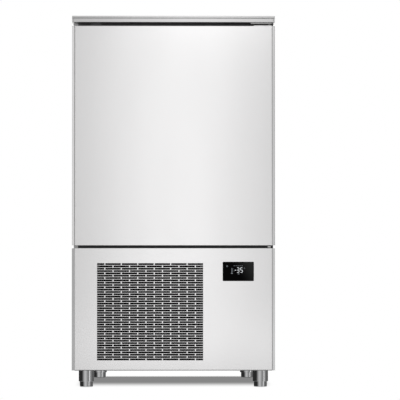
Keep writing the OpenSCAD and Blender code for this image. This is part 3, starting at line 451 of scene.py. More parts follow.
@dataclass(frozen=True)
class DisplayGlass(Finish):
    """Black glass with faint finger marks, and a painted sheen over its upper right corner: a lighter colour
    there that stands in for a soft reflection.
    """

    # The colour of a painted sheen, lighter than the glass, laid towards the upper right corner as a stand-in
    # for a reflection.
    haze_and_sheen: Colour = (0.018, 0.0185, 0.0183)
    sheen_lean: float = 0.6
    haze_and_sheen_span: Span = (0.515, 0.60)
    marks: Pattern = Pattern(60.0, 3.0, 0.6, (1.0, 1.0, 0.7))
    mark_span: Span = (0.5, 0.8)
    mark_gloss: float = 0.08

    def surface(self, sheet: NodeSheet) -> dict[str, Signal]:
        """Finger marks in the gloss, and the painted sheen in the colour."""
        marks = sheet.noise(self.marks).spread(*self.mark_span)
        # Painted sheen: the colour lightens along this diagonal towards the upper right corner.
        reach = sheet.coordinate("X") + sheet.coordinate("Z") * self.sheen_lean
        return {
            "Base Color": sheet.blend(reach.spread(*self.haze_and_sheen_span), self.colour, self.haze_and_sheen),
            "Roughness": self.roughness + marks * self.mark_gloss,
        }


@dataclass(frozen=True)
class LitSymbol(Finish):
    """A lit segment of the display."""

    glow: float = 1.0

    def fixed(self) -> dict[str, object]:
        """The plain values with the light of the segment."""
        light = {"Emission Color": (*self.colour, 1.0), "Emission Strength": self.glow}
        return {**super().fixed(), "Base Color": (0.0, 0.0, 0.0, 1.0), **light}


SATIN_STEEL = GroundSteel("satin_steel", (0.545, 0.541, 0.5425), 0.305, 1.0)
# The next steels, all but the inner one, are darker copies of the satin steel, each as dark as the shade that
# falls where it is laid: painted shade. The level grain of the cap and the plate is real.
SHADED_CAP_STEEL = GroundSteel("shaded_cap_steel", (0.41, 0.408, 0.409), 0.33, 1.0, grain=Grain.LEVEL)
SHADED_PLATE_STEEL = GroundSteel("shaded_plate_steel", (0.19, 0.19, 0.189), 0.34, 1.0, grain=Grain.LEVEL)
SHADE_STEEL = GroundSteel("shade_steel", (0.05, 0.05, 0.051), 0.45, 1.0, line_strength=0.05)
DARK_SHADED_FOLD = GroundSteel("dark_shaded_fold", (0.33, 0.33, 0.331), 0.30, 1.0)
SHADED_FOLD_STEEL = GroundSteel("shaded_fold_steel", (0.43, 0.43, 0.431), 0.30, 1.0)
INNER_STEEL = GroundSteel("inner_steel", (0.57, 0.57, 0.567), 0.30, 1.0, line_strength=0.06)
SHADED_EDGE_STEEL = GroundSteel("shaded_edge_steel", (0.49, 0.49, 0.489), 0.30, 1.0)
POLISHED_STEEL = PolishedSteel("polished_steel", (0.52, 0.523, 0.528), 0.10, 1.0)
DISPLAY_BLACK = DisplayGlass("display_black", (0.0006, 0.0006, 0.0007), 0.16, gloss_level=0.012)
DARK_PLASTIC = Moulded("dark_plastic", (0.055, 0.056, 0.058), 0.5)
SEAL_RUBBER = Moulded("seal_rubber", (0.045, 0.046, 0.048), 0.62, texture=Pattern(600.0))
FOAM = Moulded("foam", (0.72, 0.62, 0.40), 0.85, texture=Pattern(350.0), texture_strength=0.5, lighter=1.1)
FAN_PLASTIC = Moulded("fan_plastic", (0.045, 0.047, 0.05), 0.45)
BOARD_GREEN = Moulded("board_green", (0.02, 0.11, 0.05), 0.4)
BLACK_ENAMEL = Enamel("black_enamel", (0.014, 0.014, 0.015), 0.28, coat=0.4)
# Near black: partly a black coating, partly painted shade behind the grille's slots.
COIL_BLACK = Moulded("coil_black", (0.005, 0.005, 0.0055), 0.7, gloss_level=0.03)
FINS = DulledMetal("fin_aluminium", (0.55, 0.56, 0.57), 0.35, 1.0, tarnish=(0.36, 0.36, 0.36))
COPPER = DulledMetal("copper", (0.62, 0.30, 0.17), 0.28, 1.0)
DIGIT = LitSymbol("lit_digit", (0.93, 0.97, 1.0), 0.4, glow=0.8)
SYMBOL = LitSymbol("lit_symbol", (0.55, 0.62, 0.68), 0.4, glow=0.25)

# The finish of each slot bears the slot's name. A few nodes have a finish of their own: the condenser coil is
# near black, as a black coating and as painted shade behind the grille, and its shroud gets the darker plate
# steel as painted shade.
SLOT_FINISHES: dict[str, Finish] = {
    finish.name: finish
    for finish in (
        SATIN_STEEL,
        INNER_STEEL,
        POLISHED_STEEL,
        DISPLAY_BLACK,
        DARK_PLASTIC,
        SEAL_RUBBER,
        FOAM,
        FINS,
        BLACK_ENAMEL,
        FAN_PLASTIC,
        COPPER,
        BOARD_GREEN,
    )
}
NODE_FINISHES: dict[str, Finish] = {"condenser_coil": COIL_BLACK, "condenser_shroud": SHADED_PLATE_STEEL}


class Paintbox:
    """Builds each finish once and hands it out."""

    def __init__(self) -> None:
        """Starts with nothing built."""
        self.built: dict[str, bpy.types.Material] = {}

    def material(self, finish: Finish) -> bpy.types.Material:
        """The material of a finish."""
        if finish.name not in self.built:
            self.built[finish.name] = finish.build()
        return self.built[finish.name]

    def dress(self, piece: bpy.types.Object, finish: Finish) -> None:
        """Puts a finish on a whole piece."""
        piece.data.materials.clear()
        piece.data.materials.append(self.material(finish))

    def trim(self, piece: bpy.types.Object, finish: Finish, wanted: FaceTest) -> None:
        """Puts a second finish on the faces that pass the test."""
        piece.data.materials.append(self.material(finish))
        for face in piece.data.polygons:
            if wanted(face.center, face.normal):
                face.material_index = len(piece.data.materials) - 1


PAINT = Paintbox()


# ---------------- modelling by hand


def select_only(*pieces: bpy.types.Object) -> None:
    """Makes these pieces the selected ones, and the first the active one."""
    bpy.ops.object.select_all(action="DESELECT")
    for piece in pieces:
        piece.select_set(True)
    bpy.context.view_layer.objects.active = pieces[0]


class EditMode:
    """Edit mode on one piece, entered and left with a with statement."""

    def __init__(self, piece: bpy.types.Object) -> None:
        """Keeps the piece."""
        self.piece = piece

    def __enter__(self) -> "EditMode":
        """Enters with everything selected."""
        select_only(self.piece)
        bpy.ops.object.mode_set(mode="EDIT")
        bpy.ops.mesh.select_all(action="SELECT")
        return self

    def __exit__(self, *unused: object) -> None:
        """Leaves edit mode."""
        bpy.ops.object.mode_set(mode="OBJECT")

    def pick_faces(self, wanted: FaceTest) -> None:
        """Selects the faces whose centre and normal pass the test."""
        bpy.ops.mesh.select_mode(type="FACE")
        bpy.ops.mesh.select_all(action="DESELECT")
        bpy.ops.object.mode_set(mode="OBJECT")
        for face in self.piece.data.polygons:
            face.select = wanted(face.center, face.normal)
        bpy.ops.object.mode_set(mode="EDIT")


def apply_modifier(piece: bpy.types.Object, kind: str, **settings: object) -> None:
    """Adds a modifier with its settings and applies it."""
    select_only(piece)
    modifier = piece.modifiers.new(kind.lower(), kind)
    for name, value in settings.items():
        setattr(modifier, name, value)
    bpy.ops.object.modifier_apply(modifier=modifier.name)


def settle(piece: bpy.types.Object, name: str) -> bpy.types.Object:
    """Names a piece and moves its place into its mesh."""
    select_only(piece)
    bpy.ops.object.transform_apply(location=True, rotation=True, scale=True)
    piece.name = name
    piece.data.name = name
    return piece


def duplicate(piece: bpy.types.Object, name: str) -> bpy.types.Object:
    """A copy of a piece in the same place, with its own mesh."""
    copy = bpy.data.objects.new(name, piece.data.copy())
    bpy.context.scene.collection.objects.link(copy)
    copy.matrix_world = piece.matrix_world.copy()
    return copy


def join(pieces: list[bpy.types.Object], name: str) -> bpy.types.Object:
    """Joins pieces into one under a new name."""
    select_only(*pieces)
    bpy.ops.object.join()
    return settle(bpy.context.object, name)


def front_plane(name: str, place: Triple, width: float, height: float) -> bpy.types.Object:
    """A plane that looks straight ahead.

    Args:
        name: Its name.
        place: Its centre.
        width: Its width.
        height: Its height.

    Returns:
        The plane.
    """
    bpy.ops.object.select_all(action="DESELECT")
    bpy.ops.mesh.primitive_plane_add(size=1.0, location=place, rotation=(math.pi / 2, 0.0, 0.0))
    bpy.context.object.scale = (width, height, 1.0)
    return settle(bpy.context.object, name)


def smooth_by_angle(piece: bpy.types.Object, degrees: float) -> None:
    """Smooths all edges under an angle."""
    select_only(piece)
    bpy.ops.object.shade_smooth_by_angle(angle=math.radians(degrees))


def flatten_normals(piece: bpy.types.Object) -> None:
    """Gives the large faces beside a bevel flat shading."""
    apply_modifier(piece, "WEIGHTED_NORMAL", weight=100, keep_sharp=True)


def mount(piece: bpy.types.Object, body: str, finish: Finish, nodes: Iterable[str] = ()) -> None:
    """Finishes a piece and ties it to its body.

    Args:
        piece: The finished object.
        body: The body that it moves with.
        finish: Its finish.
        nodes: The nodes that it stands for.
    """
    PAINT.dress(piece, finish)
    if nodes:
        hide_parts(*nodes)
    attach(piece, body)
    log.info("%s rides on %s, %d faces", piece.name, body, len(piece.data.polygons))


# ---------------- sheet metal with softened edges


@dataclass
class FoldedSheet:
    """A sheet part whose folds and cut edges get the small radius of real sheet.

    It is a merged copy of its node with bevelled edges. Each trim is a second finish on some of its faces;
    here every trim is a darker steel that paints shade on those faces.
    """

    body: str
    node: str
    slot: str
    finish: Finish
    edge: float = 0.6 * MM
    steps: int = 2
    trims: tuple[tuple[Finish, FaceTest], ...] = ()
    merge_gap: float = 0.01 * MM
    flat_degrees: float = 0.5
    sharp_degrees: float = 32.0

    def soften(self) -> bpy.types.Object:
        """Makes the softened copy of the node.

        Returns:
            The new piece.
        """
        name = f"{self.node}_finished"
        piece = settle(duplicate(frame["nodes"][self.node], name), name)
        with EditMode(piece):
            bpy.ops.mesh.remove_doubles(threshold=self.merge_gap)
            bpy.ops.mesh.dissolve_limited(angle_limit=math.radians(self.flat_degrees))
        select_only(piece)
        bpy.ops.object.shade_smooth()
        limit = {"limit_method": "ANGLE", "angle_limit": math.radians(self.sharp_degrees)}
        apply_modifier(piece, "BEVEL", width=self.edge, segments=self.steps, use_clamp_overlap=True, **limit)
        flatten_normals(piece)
        return piece

    def build(self) -> None:
        """Makes and mounts the part."""
        piece = self.soften()
        mount(piece, self.body, self.finish, [self.node])
        for finish, wanted in self.trims:
            PAINT.trim(piece, finish, wanted)


# The least cosine of a face that looks along an axis, and of one that leans towards it.
ALONG = 0.9
ASLANT = 0.1

# Where the tests of faces split a part; the faces they pick get a darker steel as painted shade.
LIP_Y = FRONT_Y + 10.0 * MM
ROLL_Y = FRONT_Y + 5.0 * MM
DOOR_ROLL_X = RIGHT_X - 5.0 * MM
CAP_ROLL_Z = TOP_Z - 2.0 * MM
LOW_BUSH_Z = 700.0 * MM
PIN_R = 7.5 * MM
JOINTS = {joint["name"]: joint for joint in frame["record"]["behaviour"]["joints"]}
HINGE_XY = JOINTS["door_hinge"]["pos_m"][:2]


def faces_front(place: Vector, normal: Vector) -> bool:
    """True for a face that looks straight ahead."""
    return normal.y < -ALONG


def outer_roll(place: Vector, normal: Vector) -> bool:
    """True for the rolled outer edge of the door's hinge side."""
    return place.x > DOOR_ROLL_X and place.y < LIP_Y and normal.x > ASLANT and normal.y < -ASLANT


def cap_front(place: Vector, normal: Vector) -> bool:
    """True for the front lip of the top."""
    return place.y < LIP_Y


def cap_joint(place: Vector, normal: Vector) -> bool:
    """True for the rolled edges beside the joint along the front of the top."""
    return place.y < ROLL_Y and place.z < CAP_ROLL_Z and normal.y < -ASLANT and abs(normal.z) > ASLANT


def near_pin(place: Vector, normal: Vector) -> bool:
    """True for the faces of the lower hinge that belong to its pin and collar."""
    return math.dist(place.xy, HINGE_XY) < PIN_R


def low_bush(place: Vector, normal: Vector) -> bool:
    """True for the faces of the lower hinge bush."""
    return place.z < LOW_BUSH_Z


@dataclass
class JointShadeBead:
    """Quarter-round bead of dark sealant in the step between a front sheet and the fold beside it; its dark
    line also stands in for the shade in that step.
    """

    name: str
    body: str
    side: int
    span: Span
    radius: float = 1.3 * MM
    sides: int = 24
    step_x: float = 384.0 * MM
    step_y: float = -406.0 * MM
    smooth_degrees: float = 40.0

    def build(self) -> None:
        """Makes the bead from a rod cut along both sheets."""
        low, high = self.span
        corner = (self.side * self.step_x, self.step_y, (low + high) / 2)
        bpy.ops.object.select_all(action="DESELECT")
        bpy.ops.mesh.primitive_cylinder_add(
            vertices=self.sides, radius=self.radius, depth=high - low, location=corner
        )
        piece = settle(bpy.context.object, self.name)
        with EditMode(piece):
            for normal in ((self.side, 0.0, 0.0), (0.0, -1.0, 0.0)):
                bpy.ops.mesh.select_all(action="SELECT")
                bpy.ops.mesh.bisect(plane_co=corner, plane_no=normal, use_fill=True, clear_inner=True)
            bpy.ops.mesh.select_all(action="SELECT")
            bpy.ops.mesh.normals_make_consistent(inside=False)
        smooth_by_angle(piece, self.smooth_degrees)
        # The dark rubber is both the sealant's colour and painted shade in the step.
        mount(piece, self.body, SEAL_RUBBER)


@dataclass
class LowerShadowHem:
    """Hem folded along the lower edge of the front panel, all in near-black steel as a painted shadow line
    along its bend.
    """

    width: float = 767.0 * MM
    height: float = 2.4 * MM
    low: float = 68.3 * MM
    proud: float = 0.12 * MM
    edge_share: float = 0.4

    def build(self) -> None:
        """Makes the hem with its edges rolled in towards the sheet."""
        place = (0.0, FRONT_Y - self.proud, self.low + self.height / 2)
        piece = front_plane("base_shadow_hem", place, self.width, self.height)
        apply_modifier(piece, "SOLIDIFY", thickness=self.proud, offset=-1.0)
        edge = self.proud * self.edge_share
        apply_modifier(piece, "BEVEL", width=edge, segments=2, limit_method="ANGLE")
        # The whole hem is near-black steel: a painted shadow line.
        mount(piece, "cabinet", SHADE_STEEL)


@dataclass
class SlotShadeRims:
    """Rolled edge round each punched slot of the grille, in near-black steel that paints the shade at the
    slot's edge.

    Sizes repeat the slot field of the front panel.
    """

    left: float = -296.0 * MM
    low: float = 108.5 * MM
    slot_w: float = 58.5 * MM
    slot_h: float = 5.8 * MM
    bar: float = 5.5 * MM
    pitch: float = 9.02 * MM
    rows: int = 42
    columns: int = 6
    rim: float = 0.85 * MM
    proud: float = 0.12 * MM

    def slots(self) -> Iterable[Triple]:
        """Left end, bottom and width of every slot; each row is shifted by half a step against the next."""
        step = self.slot_w + self.bar
        short = step / 2 - self.bar
        for row in range(self.rows):
            shifted = (self.rows - 1 - row) % 2 == 0
            start = self.left + (short + self.bar if shifted else 0.0)
            low = self.low + row * self.pitch
            yield (self.left if shifted else self.left + self.columns * step), low, short
            for column in range(self.columns):
                yield start + column * step, low, self.slot_w

    def ring(self, width: float) -> bpy.types.Object:
        """The rim of a slot of one width, round the origin and on the face of the panel.

        Args:
            width: Width of the slot.

        Returns:
            The rim.
        """
        place = (0.0, FRONT_Y - self.proud, 0.0)
        piece = front_plane("rim", place, width + 2 * self.rim, self.slot_h + 2 * self.rim)
        with EditMode(piece):
            bpy.ops.mesh.inset(thickness=self.rim)
            bpy.ops.mesh.delete(type="FACE")
        apply_modifier(piece, "SOLIDIFY", thickness=self.proud, offset=-1.0)
        return piece

    def build(self) -> None:
        """Makes a rim of either width, lays a copy round every slot and joins them."""
        rims: dict[float, bpy.types.Object] = {}
        copies = []
        for left, low, width in self.slots():
            if width not in rims:
                rims[width] = self.ring(width)
            copy = duplicate(rims[width], "rim")
            copy.location = (left + width / 2, 0.0, low + self.slot_h / 2)
            copies.append(copy)
        for rim in rims.values():
            bpy.data.objects.remove(rim)
        # The rims are near-black steel: painted shade round the slots.
        mount(join(copies, "slot_shade_rims"), "cabinet", SHADE_STEEL)


# ---------------- legs


@dataclass
class Leg:
    """One round leg: a polished sleeve and the screw foot inside it."""

    place: str
    sides: int = 96
    sleeve_r: float = 30.0 * MM
    sleeve_wall: float = 1.5 * MM
    sleeve_edge: float = 1.0 * MM
    closed_top: float = 20.0 * MM
    flange_t: float = 3.0 * MM
    foot_h: float = 44.0 * MM
    foot_edge: float = 2.0 * MM
    groove_up: float = 5.0 * MM
    groove_w: float = 1.2 * MM
    groove_depth: float = 0.7 * MM
    smooth_degrees: float = 50.0

    def __post_init__(self) -> None:
        """Reads the outer sizes off the frame."""
        low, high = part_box(f"leg_{self.place}")
        self.centre = ((low + high) / 2).to_2d()
        self.flange_r = (high.x - low.x) / 2
        self.sleeve_low = low.z
        self.sleeve_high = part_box("base_pan")[0].z - self.flange_t
        foot_low, foot_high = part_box(f"foot_{self.place}")
        self.foot_r = (foot_high.x - foot_low.x) / 2
        self.foot_low = foot_low.z

    def cylinder(self, radius: float, low: float, high: float) -> bpy.types.Object:
        """A cylinder on the leg's axis between two heights."""
        place = (*self.centre, (low + high) / 2)
        bpy.ops.object.select_all(action="DESELECT")
        bpy.ops.mesh.primitive_cylinder_add(
            vertices=self.sides, radius=radius, depth=high - low, end_fill_type="NGON", location=place
        )
        return bpy.context.object

    def sleeve(self) -> bpy.types.Object:
        """Turned sleeve, hollow from below, with its flange under the pan.

        Returns:
            The sleeve.
        """
        low, high = self.sleeve_low, self.sleeve_high
        piece = settle(self.cylinder(self.sleeve_r, low, high), "sleeve")
        widen = self.flange_r / self.sleeve_r
        flange = {"value": (0.0, 0.0, self.flange_t)}
        bore = {"value": (0.0, 0.0, high - low - self.closed_top)}
        with EditMode(piece) as edit:
            edit.pick_faces(lambda centre, normal: normal.z > ALONG)
            bpy.ops.mesh.extrude_region_move()
            bpy.ops.transform.resize(value=(widen, widen, 1.0), center_override=(*self.centre, high))
            bpy.ops.mesh.extrude_region_move(TRANSFORM_OT_translate=flange)
            edit.pick_faces(lambda centre, normal: normal.z < -ALONG and centre.z < low + MM)
            bpy.ops.mesh.inset(thickness=self.sleeve_wall, depth=0.0)
            bpy.ops.mesh.extrude_region_move(TRANSFORM_OT_translate=bore)
        limit = {"limit_method": "ANGLE", "angle_limit": math.radians(self.smooth_degrees)}
        apply_modifier(piece, "BEVEL", width=self.sleeve_edge, segments=3, **limit)
        smooth_by_angle(piece, self.smooth_degrees)
        flatten_normals(piece)
        return settle(piece, f"leg_{self.place}_sleeve")

    def foot(self) -> bpy.types.Object:
        """Round-edged foot with a wrench groove.

        Returns:
            The foot.
        """
        low = self.foot_low
        piece = settle(self.cylinder(self.foot_r, low, low + self.foot_h), "foot")
        groove = (low + self.groove_up, low + self.groove_up + self.groove_w)
        inwards = {"value": -self.groove_depth}
        with EditMode(piece) as edit:
            for height in groove:
                bpy.ops.mesh.select_all(action="SELECT")
                bpy.ops.mesh.bisect(plane_co=(0.0, 0.0, height), plane_no=(0.0, 0.0, 1.0))
            edit.pick_faces(lambda centre, normal: groove[0] < centre.z < groove[1])
            bpy.ops.mesh.extrude_region_shrink_fatten(TRANSFORM_OT_shrink_fatten=inwards)
            edit.pick_faces(lambda centre, normal: normal.z < -ALONG and centre.z < low + MM)
            bpy.ops.mesh.bevel(offset=self.foot_edge, segments=5, affect="EDGES")
        smooth_by_angle(piece, self.smooth_degrees)
        flatten_normals(piece)
        return settle(piece, f"foot_{self.place}_turned")

    def build(self) -> None:
        """Makes both pieces; the sleeve stays on the cabinet and the foot on its own body."""
        mount(self.sleeve(), "cabinet", POLISHED_STEEL, [f"leg_{self.place}"])
        foot_body = f"foot_{self.place}"
        mount(self.foot(), foot_body, POLISHED_STEEL, [foot_body])


# ---------------- display


@dataclass(frozen=True)
class Bar:
    """A bar of the display in millimetres: its centre, size and pointed ends, and its turn in degrees."""

    x: float
    z: float
    w: float
    h: float
    point: float = 0.0
    turn: float = 0.0


class Segment(Enum):
    """Bars that the figures light: centre in half widths and half heights, and whether it is upright."""

    TOP = (0.0, 1.0, False)
    MIDDLE = (0.0, 0.0, False)
    BOTTOM = (0.0, -1.0, False)
    UPPER_LEFT = (-1.0, 0.5, True)
    UPPER_RIGHT = (1.0, 0.5, True)
    LOWER_RIGHT = (1.0, -0.5, True)


THREE = (Segment.TOP, Segment.MIDDLE, Segment.BOTTOM, Segment.UPPER_RIGHT, Segment.LOWER_RIGHT)
FIVE = (Segment.TOP, Segment.MIDDLE, Segment.BOTTOM, Segment.UPPER_LEFT, Segment.LOWER_RIGHT)

MINUS = Bar(-10.9, 4.6, 4.4, 1.9, 0.9)
THERMOMETER = (Bar(-24.7, 3.4, 2.4, 18.0, 1.0), Bar(-24.7, -7.5, 5.2, 3.4, 1.3))
SCALE_MARKS = tuple(Bar(-20.7, -1.0 + mark * 3.8, 2.4, 0.8) for mark in range(4))
FROST_STAR = tuple(Bar(-43.5, 20.5, 7.5, 0.9, 0.4, turn) for turn in (0.0, 60.0, 120.0))
PHASE_MARKS = tuple(Bar(-15.2 + mark * 7.6, 22.2, 4.4, 1.5, 0.5) for mark in range(5))
DROP_MARK = Bar(1.0, -9.4, 4.4, 3.0, 1.6)


@dataclass
class DisplayFace:
    """The lit figures and symbols of the display, laid just on the glass.

    Its sizes are in millimetres, and places are to the right and up from the centre of the glass.
    """

    digit_w: float = 9.8
    digit_h: float = 20.0
    stroke: float = 1.9
    point_share: float = 0.45
    point_room: float = 2.4
    joint_gap: float = 0.3
    digits_x: tuple[float, float] = (-1.2, 12.4)
    digits_z: float = 5.3
    proud: float = 0.15
    tip_share: float = 0.15
    degree_x: float = 24.3
    degree_z: float = 12.7
    degree_r: float = 2.0
    degree_stroke: float = 0.8

    def __post_init__(self) -> None:
        """Reads the glass off the frame."""
        low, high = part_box("display_glass")
        self.centre = Vector(((low.x + high.x) / 2, low.y, (low.z + high.z) / 2))

    def lay(self, bar: Bar) -> bpy.types.Object:
        """Lays a bar on the glass.

        Args:
            bar: What is laid.

        Returns:
            The bar's piece.
        """
        place = self.centre + Vector((bar.x, 0.0, bar.z)) * MM
        size = (bar.w * MM, 2 * self.proud * MM, bar.h * MM)
        bpy.ops.object.select_all(action="DESELECT")
        bpy.ops.mesh.primitive_cube_add(size=1.0, location=place, scale=size)
        piece = settle(bpy.context.object, "bar")
        with EditMode(piece) as edit:
            if bar.point:
                along = Vector((1.0, 0.0, 0.0)) if bar.w > bar.h else Vector((0.0, 0.0, 1.0))
                shrink = Vector((self.tip_share, 1.0, self.tip_share)) + along * (1.0 - self.tip_share)
                for end in (-along, along):
                    edit.pick_faces(lambda centre, normal: normal.dot(end) > ALONG)
                    shift = {"value": end * bar.point * MM}
                    bpy.ops.mesh.extrude_region_move(TRANSFORM_OT_translate=shift)
                    bpy.ops.transform.resize(value=shrink, center_override=place)
            if bar.turn:
                bpy.ops.mesh.select_all(action="SELECT")
                turn = math.radians(bar.turn)
                bpy.ops.transform.rotate(value=turn, orient_axis="Y", center_override=place)
        return piece

    def digit(self, x: float, segments: tuple[Segment, ...]) -> Iterable[Bar]:
        """The bars of a figure."""
        half_w, half_h = (self.digit_w - self.stroke) / 2, (self.digit_h - self.stroke) / 2
        point = self.stroke * self.point_share
        for segment in segments:
            across, up, upright = segment.value
            length = (half_h if upright else 2 * half_w) - self.point_room * point - self.joint_gap
            w, h = (self.stroke, length) if upright else (length, self.stroke)
            yield Bar(x + across * half_w, self.digits_z + up * half_h, w, h, point)

    def degree_ring(self) -> bpy.types.Object:
        """A small ring on the glass, as a degree mark.

        Returns:
            The ring.
        """
        place = self.centre + Vector((self.degree_x, 0.0, self.degree_z)) * MM
        sizes = {"major_radius": self.degree_r * MM, "minor_radius": self.degree_stroke * MM / 2}
        bpy.ops.object.select_all(action="DESELECT")
        bpy.ops.mesh.primitive_torus_add(major_segments=32, minor_segments=6, location=place, **sizes)
        piece = bpy.context.object
        piece.rotation_euler = (math.radians(90), 0.0, 0.0)
        piece.scale = (1.0, 1.0, 2 * self.proud / self.degree_stroke)
        return settle(piece, "ring")

    def build(self) -> None:
        """Lays the set temperature, and the dimmer symbols round it."""
        tens_x, units_x = self.digits_x
        figures = (MINUS, *self.digit(tens_x, THREE), *self.digit(units_x, FIVE))
        pieces = [self.lay(bar) for bar in figures]
        mount(join(pieces, "display_figures"), "cabinet", DIGIT)
        symbols = (*THERMOMETER, *SCALE_MARKS, *FROST_STAR, *PHASE_MARKS, DROP_MARK)
        pieces = [self.lay(bar) for bar in symbols]
        pieces.append(self.degree_ring())
        mount(join(pieces, "display_symbols"), "cabinet", SYMBOL)


# ---------------- studio


@dataclass(frozen=True)
class Lamp:
    """A soft rectangular lamp that the camera doesn't see: its place, which way it looks, size and watts."""

    name: str
    place: Triple
    towards: Triple
    size: tuple[float, float]
    watts: float

    def hang(self) -> None:
        """Hangs the lamp."""
        data = bpy.data.lights.new(self.name, "AREA")
        data.shape = "RECTANGLE"
        data.size, data.size_y = self.size
        data.energy = self.watts
        lamp = bpy.data.objects.new(self.name, data)
        bpy.context.scene.collection.objects.link(lamp)
        lamp.location = self.place
        lamp.rotation_euler = Vector(self.towards).to_track_quat("-Z", "Y").to_euler()
        lamp.visible_camera = False


LAMPS = (
    Lamp("front_strip", (0.02, -2.4, 0.83), (0.0, 1.0, 0.0), (0.62, 1.46), 2.95),
    Lamp("top_soft", (0.15, -2.4, 1.85), (0.0, 1.0, 0.0), (0.75, 0.4), 2.15),
    Lamp("low_soft", (0.2, -1.6, 0.09), (0.0, 1.0, 0.0), (1.4, 0.22), 0.58),
    Lamp("left_strip", (-2.4, 0.0, 0.95), (1.0, 0.0, 0.0), (0.6, 1.6), 2.6),
    Lamp("right_strip", (2.4, 0.0, 0.95), (-1.0, 0.0, 0.0), (0.6, 1.6), 2.6),
    Lamp("rear_strip", (0.0, 2.4, 0.95), (0.0, -1.0, 0.0), (0.6, 1.6), 2.6),
)


@dataclass(frozen=True)
class Tent:
    """A low ring of flags round one leg, seen only from inside and only by polished metal.

    Its brightness starts at one level behind the leg, and changes in soft steps over the left, the front and
    the right. A step is where it starts and ends, in degrees to the right of the front, and its change.
    """

    leg: str
    radius: float = 50.0 * MM
    sides: int = 64
    behind: float = 0.64
    steps: tuple[Triple, ...] = (
        (-160.0, -120.0, -0.6),
        (-49.0, -10.0, 0.86),
        (-7.0, 17.0, -0.46),
        (33.0, 36.5, 1.5),
        (39.0, 43.0, -1.5),
        (47.0, 82.0, -0.26),
        (120.0, 160.0, 0.45),
    )
    hidden_from: tuple[str, ...] = ("camera", "diffuse", "transmission", "volume_scatter", "shadow")

    def surface(self) -> bpy.types.Material:
        """The ring's light on its inside; its outside is clear.

        Returns:
            The material.
        """
        material, sheet = new_material(f"tent_{self.leg}")
        turn = sheet.coordinate("X").turn_from(0 - sheet.coordinate("Y"))
        level = sum((turn.spread(start, end) * change for start, end, change in self.steps), self.behind)
        glow = sheet.add("ShaderNodeEmission", values={"Color": level})
        clear = sheet.add("ShaderNodeBsdfTransparent")
        inside = sheet.add("ShaderNodeNewGeometry", output="Backfacing")
        sheet.output(sheet.mix(inside, clear, glow))
        return material

    def build(self) -> None:
        """Stands the ring round its leg."""
        low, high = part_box(f"leg_{self.leg}")
        place = (*((low + high) / 2).xy, high.z / 2)
        bpy.ops.object.select_all(action="DESELECT")
        bpy.ops.mesh.primitive_cylinder_add(
            vertices=self.sides, radius=self.radius, depth=high.z, end_fill_type="NOTHING", location=place
        )
        ring = bpy.context.object
        ring.name = f"tent_{self.leg}"
        ring.data.materials.append(self.surface())
        for kind in self.hidden_from:
            setattr(ring, f"visible_{kind}", False)


@dataclass
class Studio:
    """White room with a floor that keeps the machine's shadow, soft lamps and the camera."""

    framing: Framing = Framing()
    clip_end: float = 200.0
    world_level: float = 1.0
    floor_size: float = 60.0
    floor_tone: float = 0.8
    shadow_reach: float = 0.28
    shadow_lean: Triple = (0.0, -0.4, 0.92)
    shadow_samples: int = 48
    shadow_span: Span = (0.45, 0.74)
    shadow_front: Span = (-0.37, 0.02)
    shadow_depth: float = 0.76

    def floor(self) -> None:
        """A wide floor: pale to the light it passes on, white with a soft shadow to the camera and to gloss.

        The shadow is what the machine hides of the space over the floor, and fades where light comes in under
        the front.
        """
        bpy.ops.object.select_all(action="DESELECT")
        bpy.ops.mesh.primitive_plane_add(size=self.floor_size, location=(0.0, 0.0, 0.0))
        plane = bpy.context.object
        plane.name = "studio_floor"
        material, sheet = new_material(plane.name)
        lean = dict(enumerate(Vector(self.shadow_lean).normalized()))
        reach = {"Distance": self.shadow_reach, "Normal": sheet.add("ShaderNodeCombineXYZ", values=lean)}
        samples = {"samples": self.shadow_samples}
        hidden = 1 - sheet.add("ShaderNodeAmbientOcclusion", samples, reach, output="AO")
        dark = hidden.spread(*self.shadow_span) * sheet.coordinate("Y").spread(*self.shadow_front)
        seen = sheet.add("ShaderNodeEmission", values={"Color": 1 - dark * self.shadow_depth})
        tone = (self.floor_tone, self.floor_tone, self.floor_tone, 1.0)
        matt = sheet.add("ShaderNodeBsdfDiffuse", values={"Color": tone})
        rays = ("Is Camera Ray", "Is Glossy Ray", "Is Transmission Ray")
        white = sum(sheet.add("ShaderNodeLightPath", output=ray) for ray in rays).clipped()
        sheet.output(sheet.mix(white, matt, seen))
        plane.data.materials.append(material)

    def world(self) -> None:
        """The same white from every side."""
        world = bpy.data.worlds.new("studio")
        bpy.context.scene.world = world
        world.use_nodes = True
        sheet = NodeSheet(world.node_tree)
        level = {"Color": (1.0, 1.0, 1.0, 1.0), "Strength": self.world_level}
        sheet.output(sheet.add("ShaderNodeBackground", values=level), "ShaderNodeOutputWorld")

    def camera(self) -> None:
        """The camera, level with the lower edge of the door and far off."""
        view = self.framing
        data = bpy.data.cameras.new("camera")
        data.sensor_width = view.sensor_mm
        data.lens = view.lens_mm
        data.clip_end = self.clip_end
        camera = bpy.data.objects.new("camera", data)
        bpy.context.scene.collection.objects.link(camera)
        camera.location = (0.0, FRONT_Y - view.distance, view.eye_height)
        camera.rotation_euler = (math.pi / 2 + view.pitch, 0.0, -view.yaw)
        bpy.context.scene.camera = camera

    def build(self) -> None:
        """Sets up the camera, the light and the floor."""
        self.camera()
        self.world()
        self.floor()
        for lamp in LAMPS:
            lamp.hang()
        for place in LEG_PLACES:
            Tent(place).build()
        bpy.context.scene.view_settings.view_transform = "Standard"


# ---------------- the machine


# Darker copies of the satin steel for the front faces of the side folds, each side as dark as the shade that
# falls on it: painted shade.
FRONT_FOLD_SHADES: dict[str, Finish] = {
    "side_panel_left": DARK_SHADED_FOLD,
    "side_panel_right": SHADE_STEEL,
    "base_side_left": DARK_SHADED_FOLD,
    "base_side_right": SHADED_FOLD_STEEL,
}


def dress_nodes() -> None:
    """Gives every node the finish of its slot."""
    for part in frame["record"]["subparts"]:
        node = frame["nodes"][part["node"]]
        PAINT.dress(node, NODE_FINISHES.get(part["node"], SLOT_FINISHES[part["material_slot"]]))


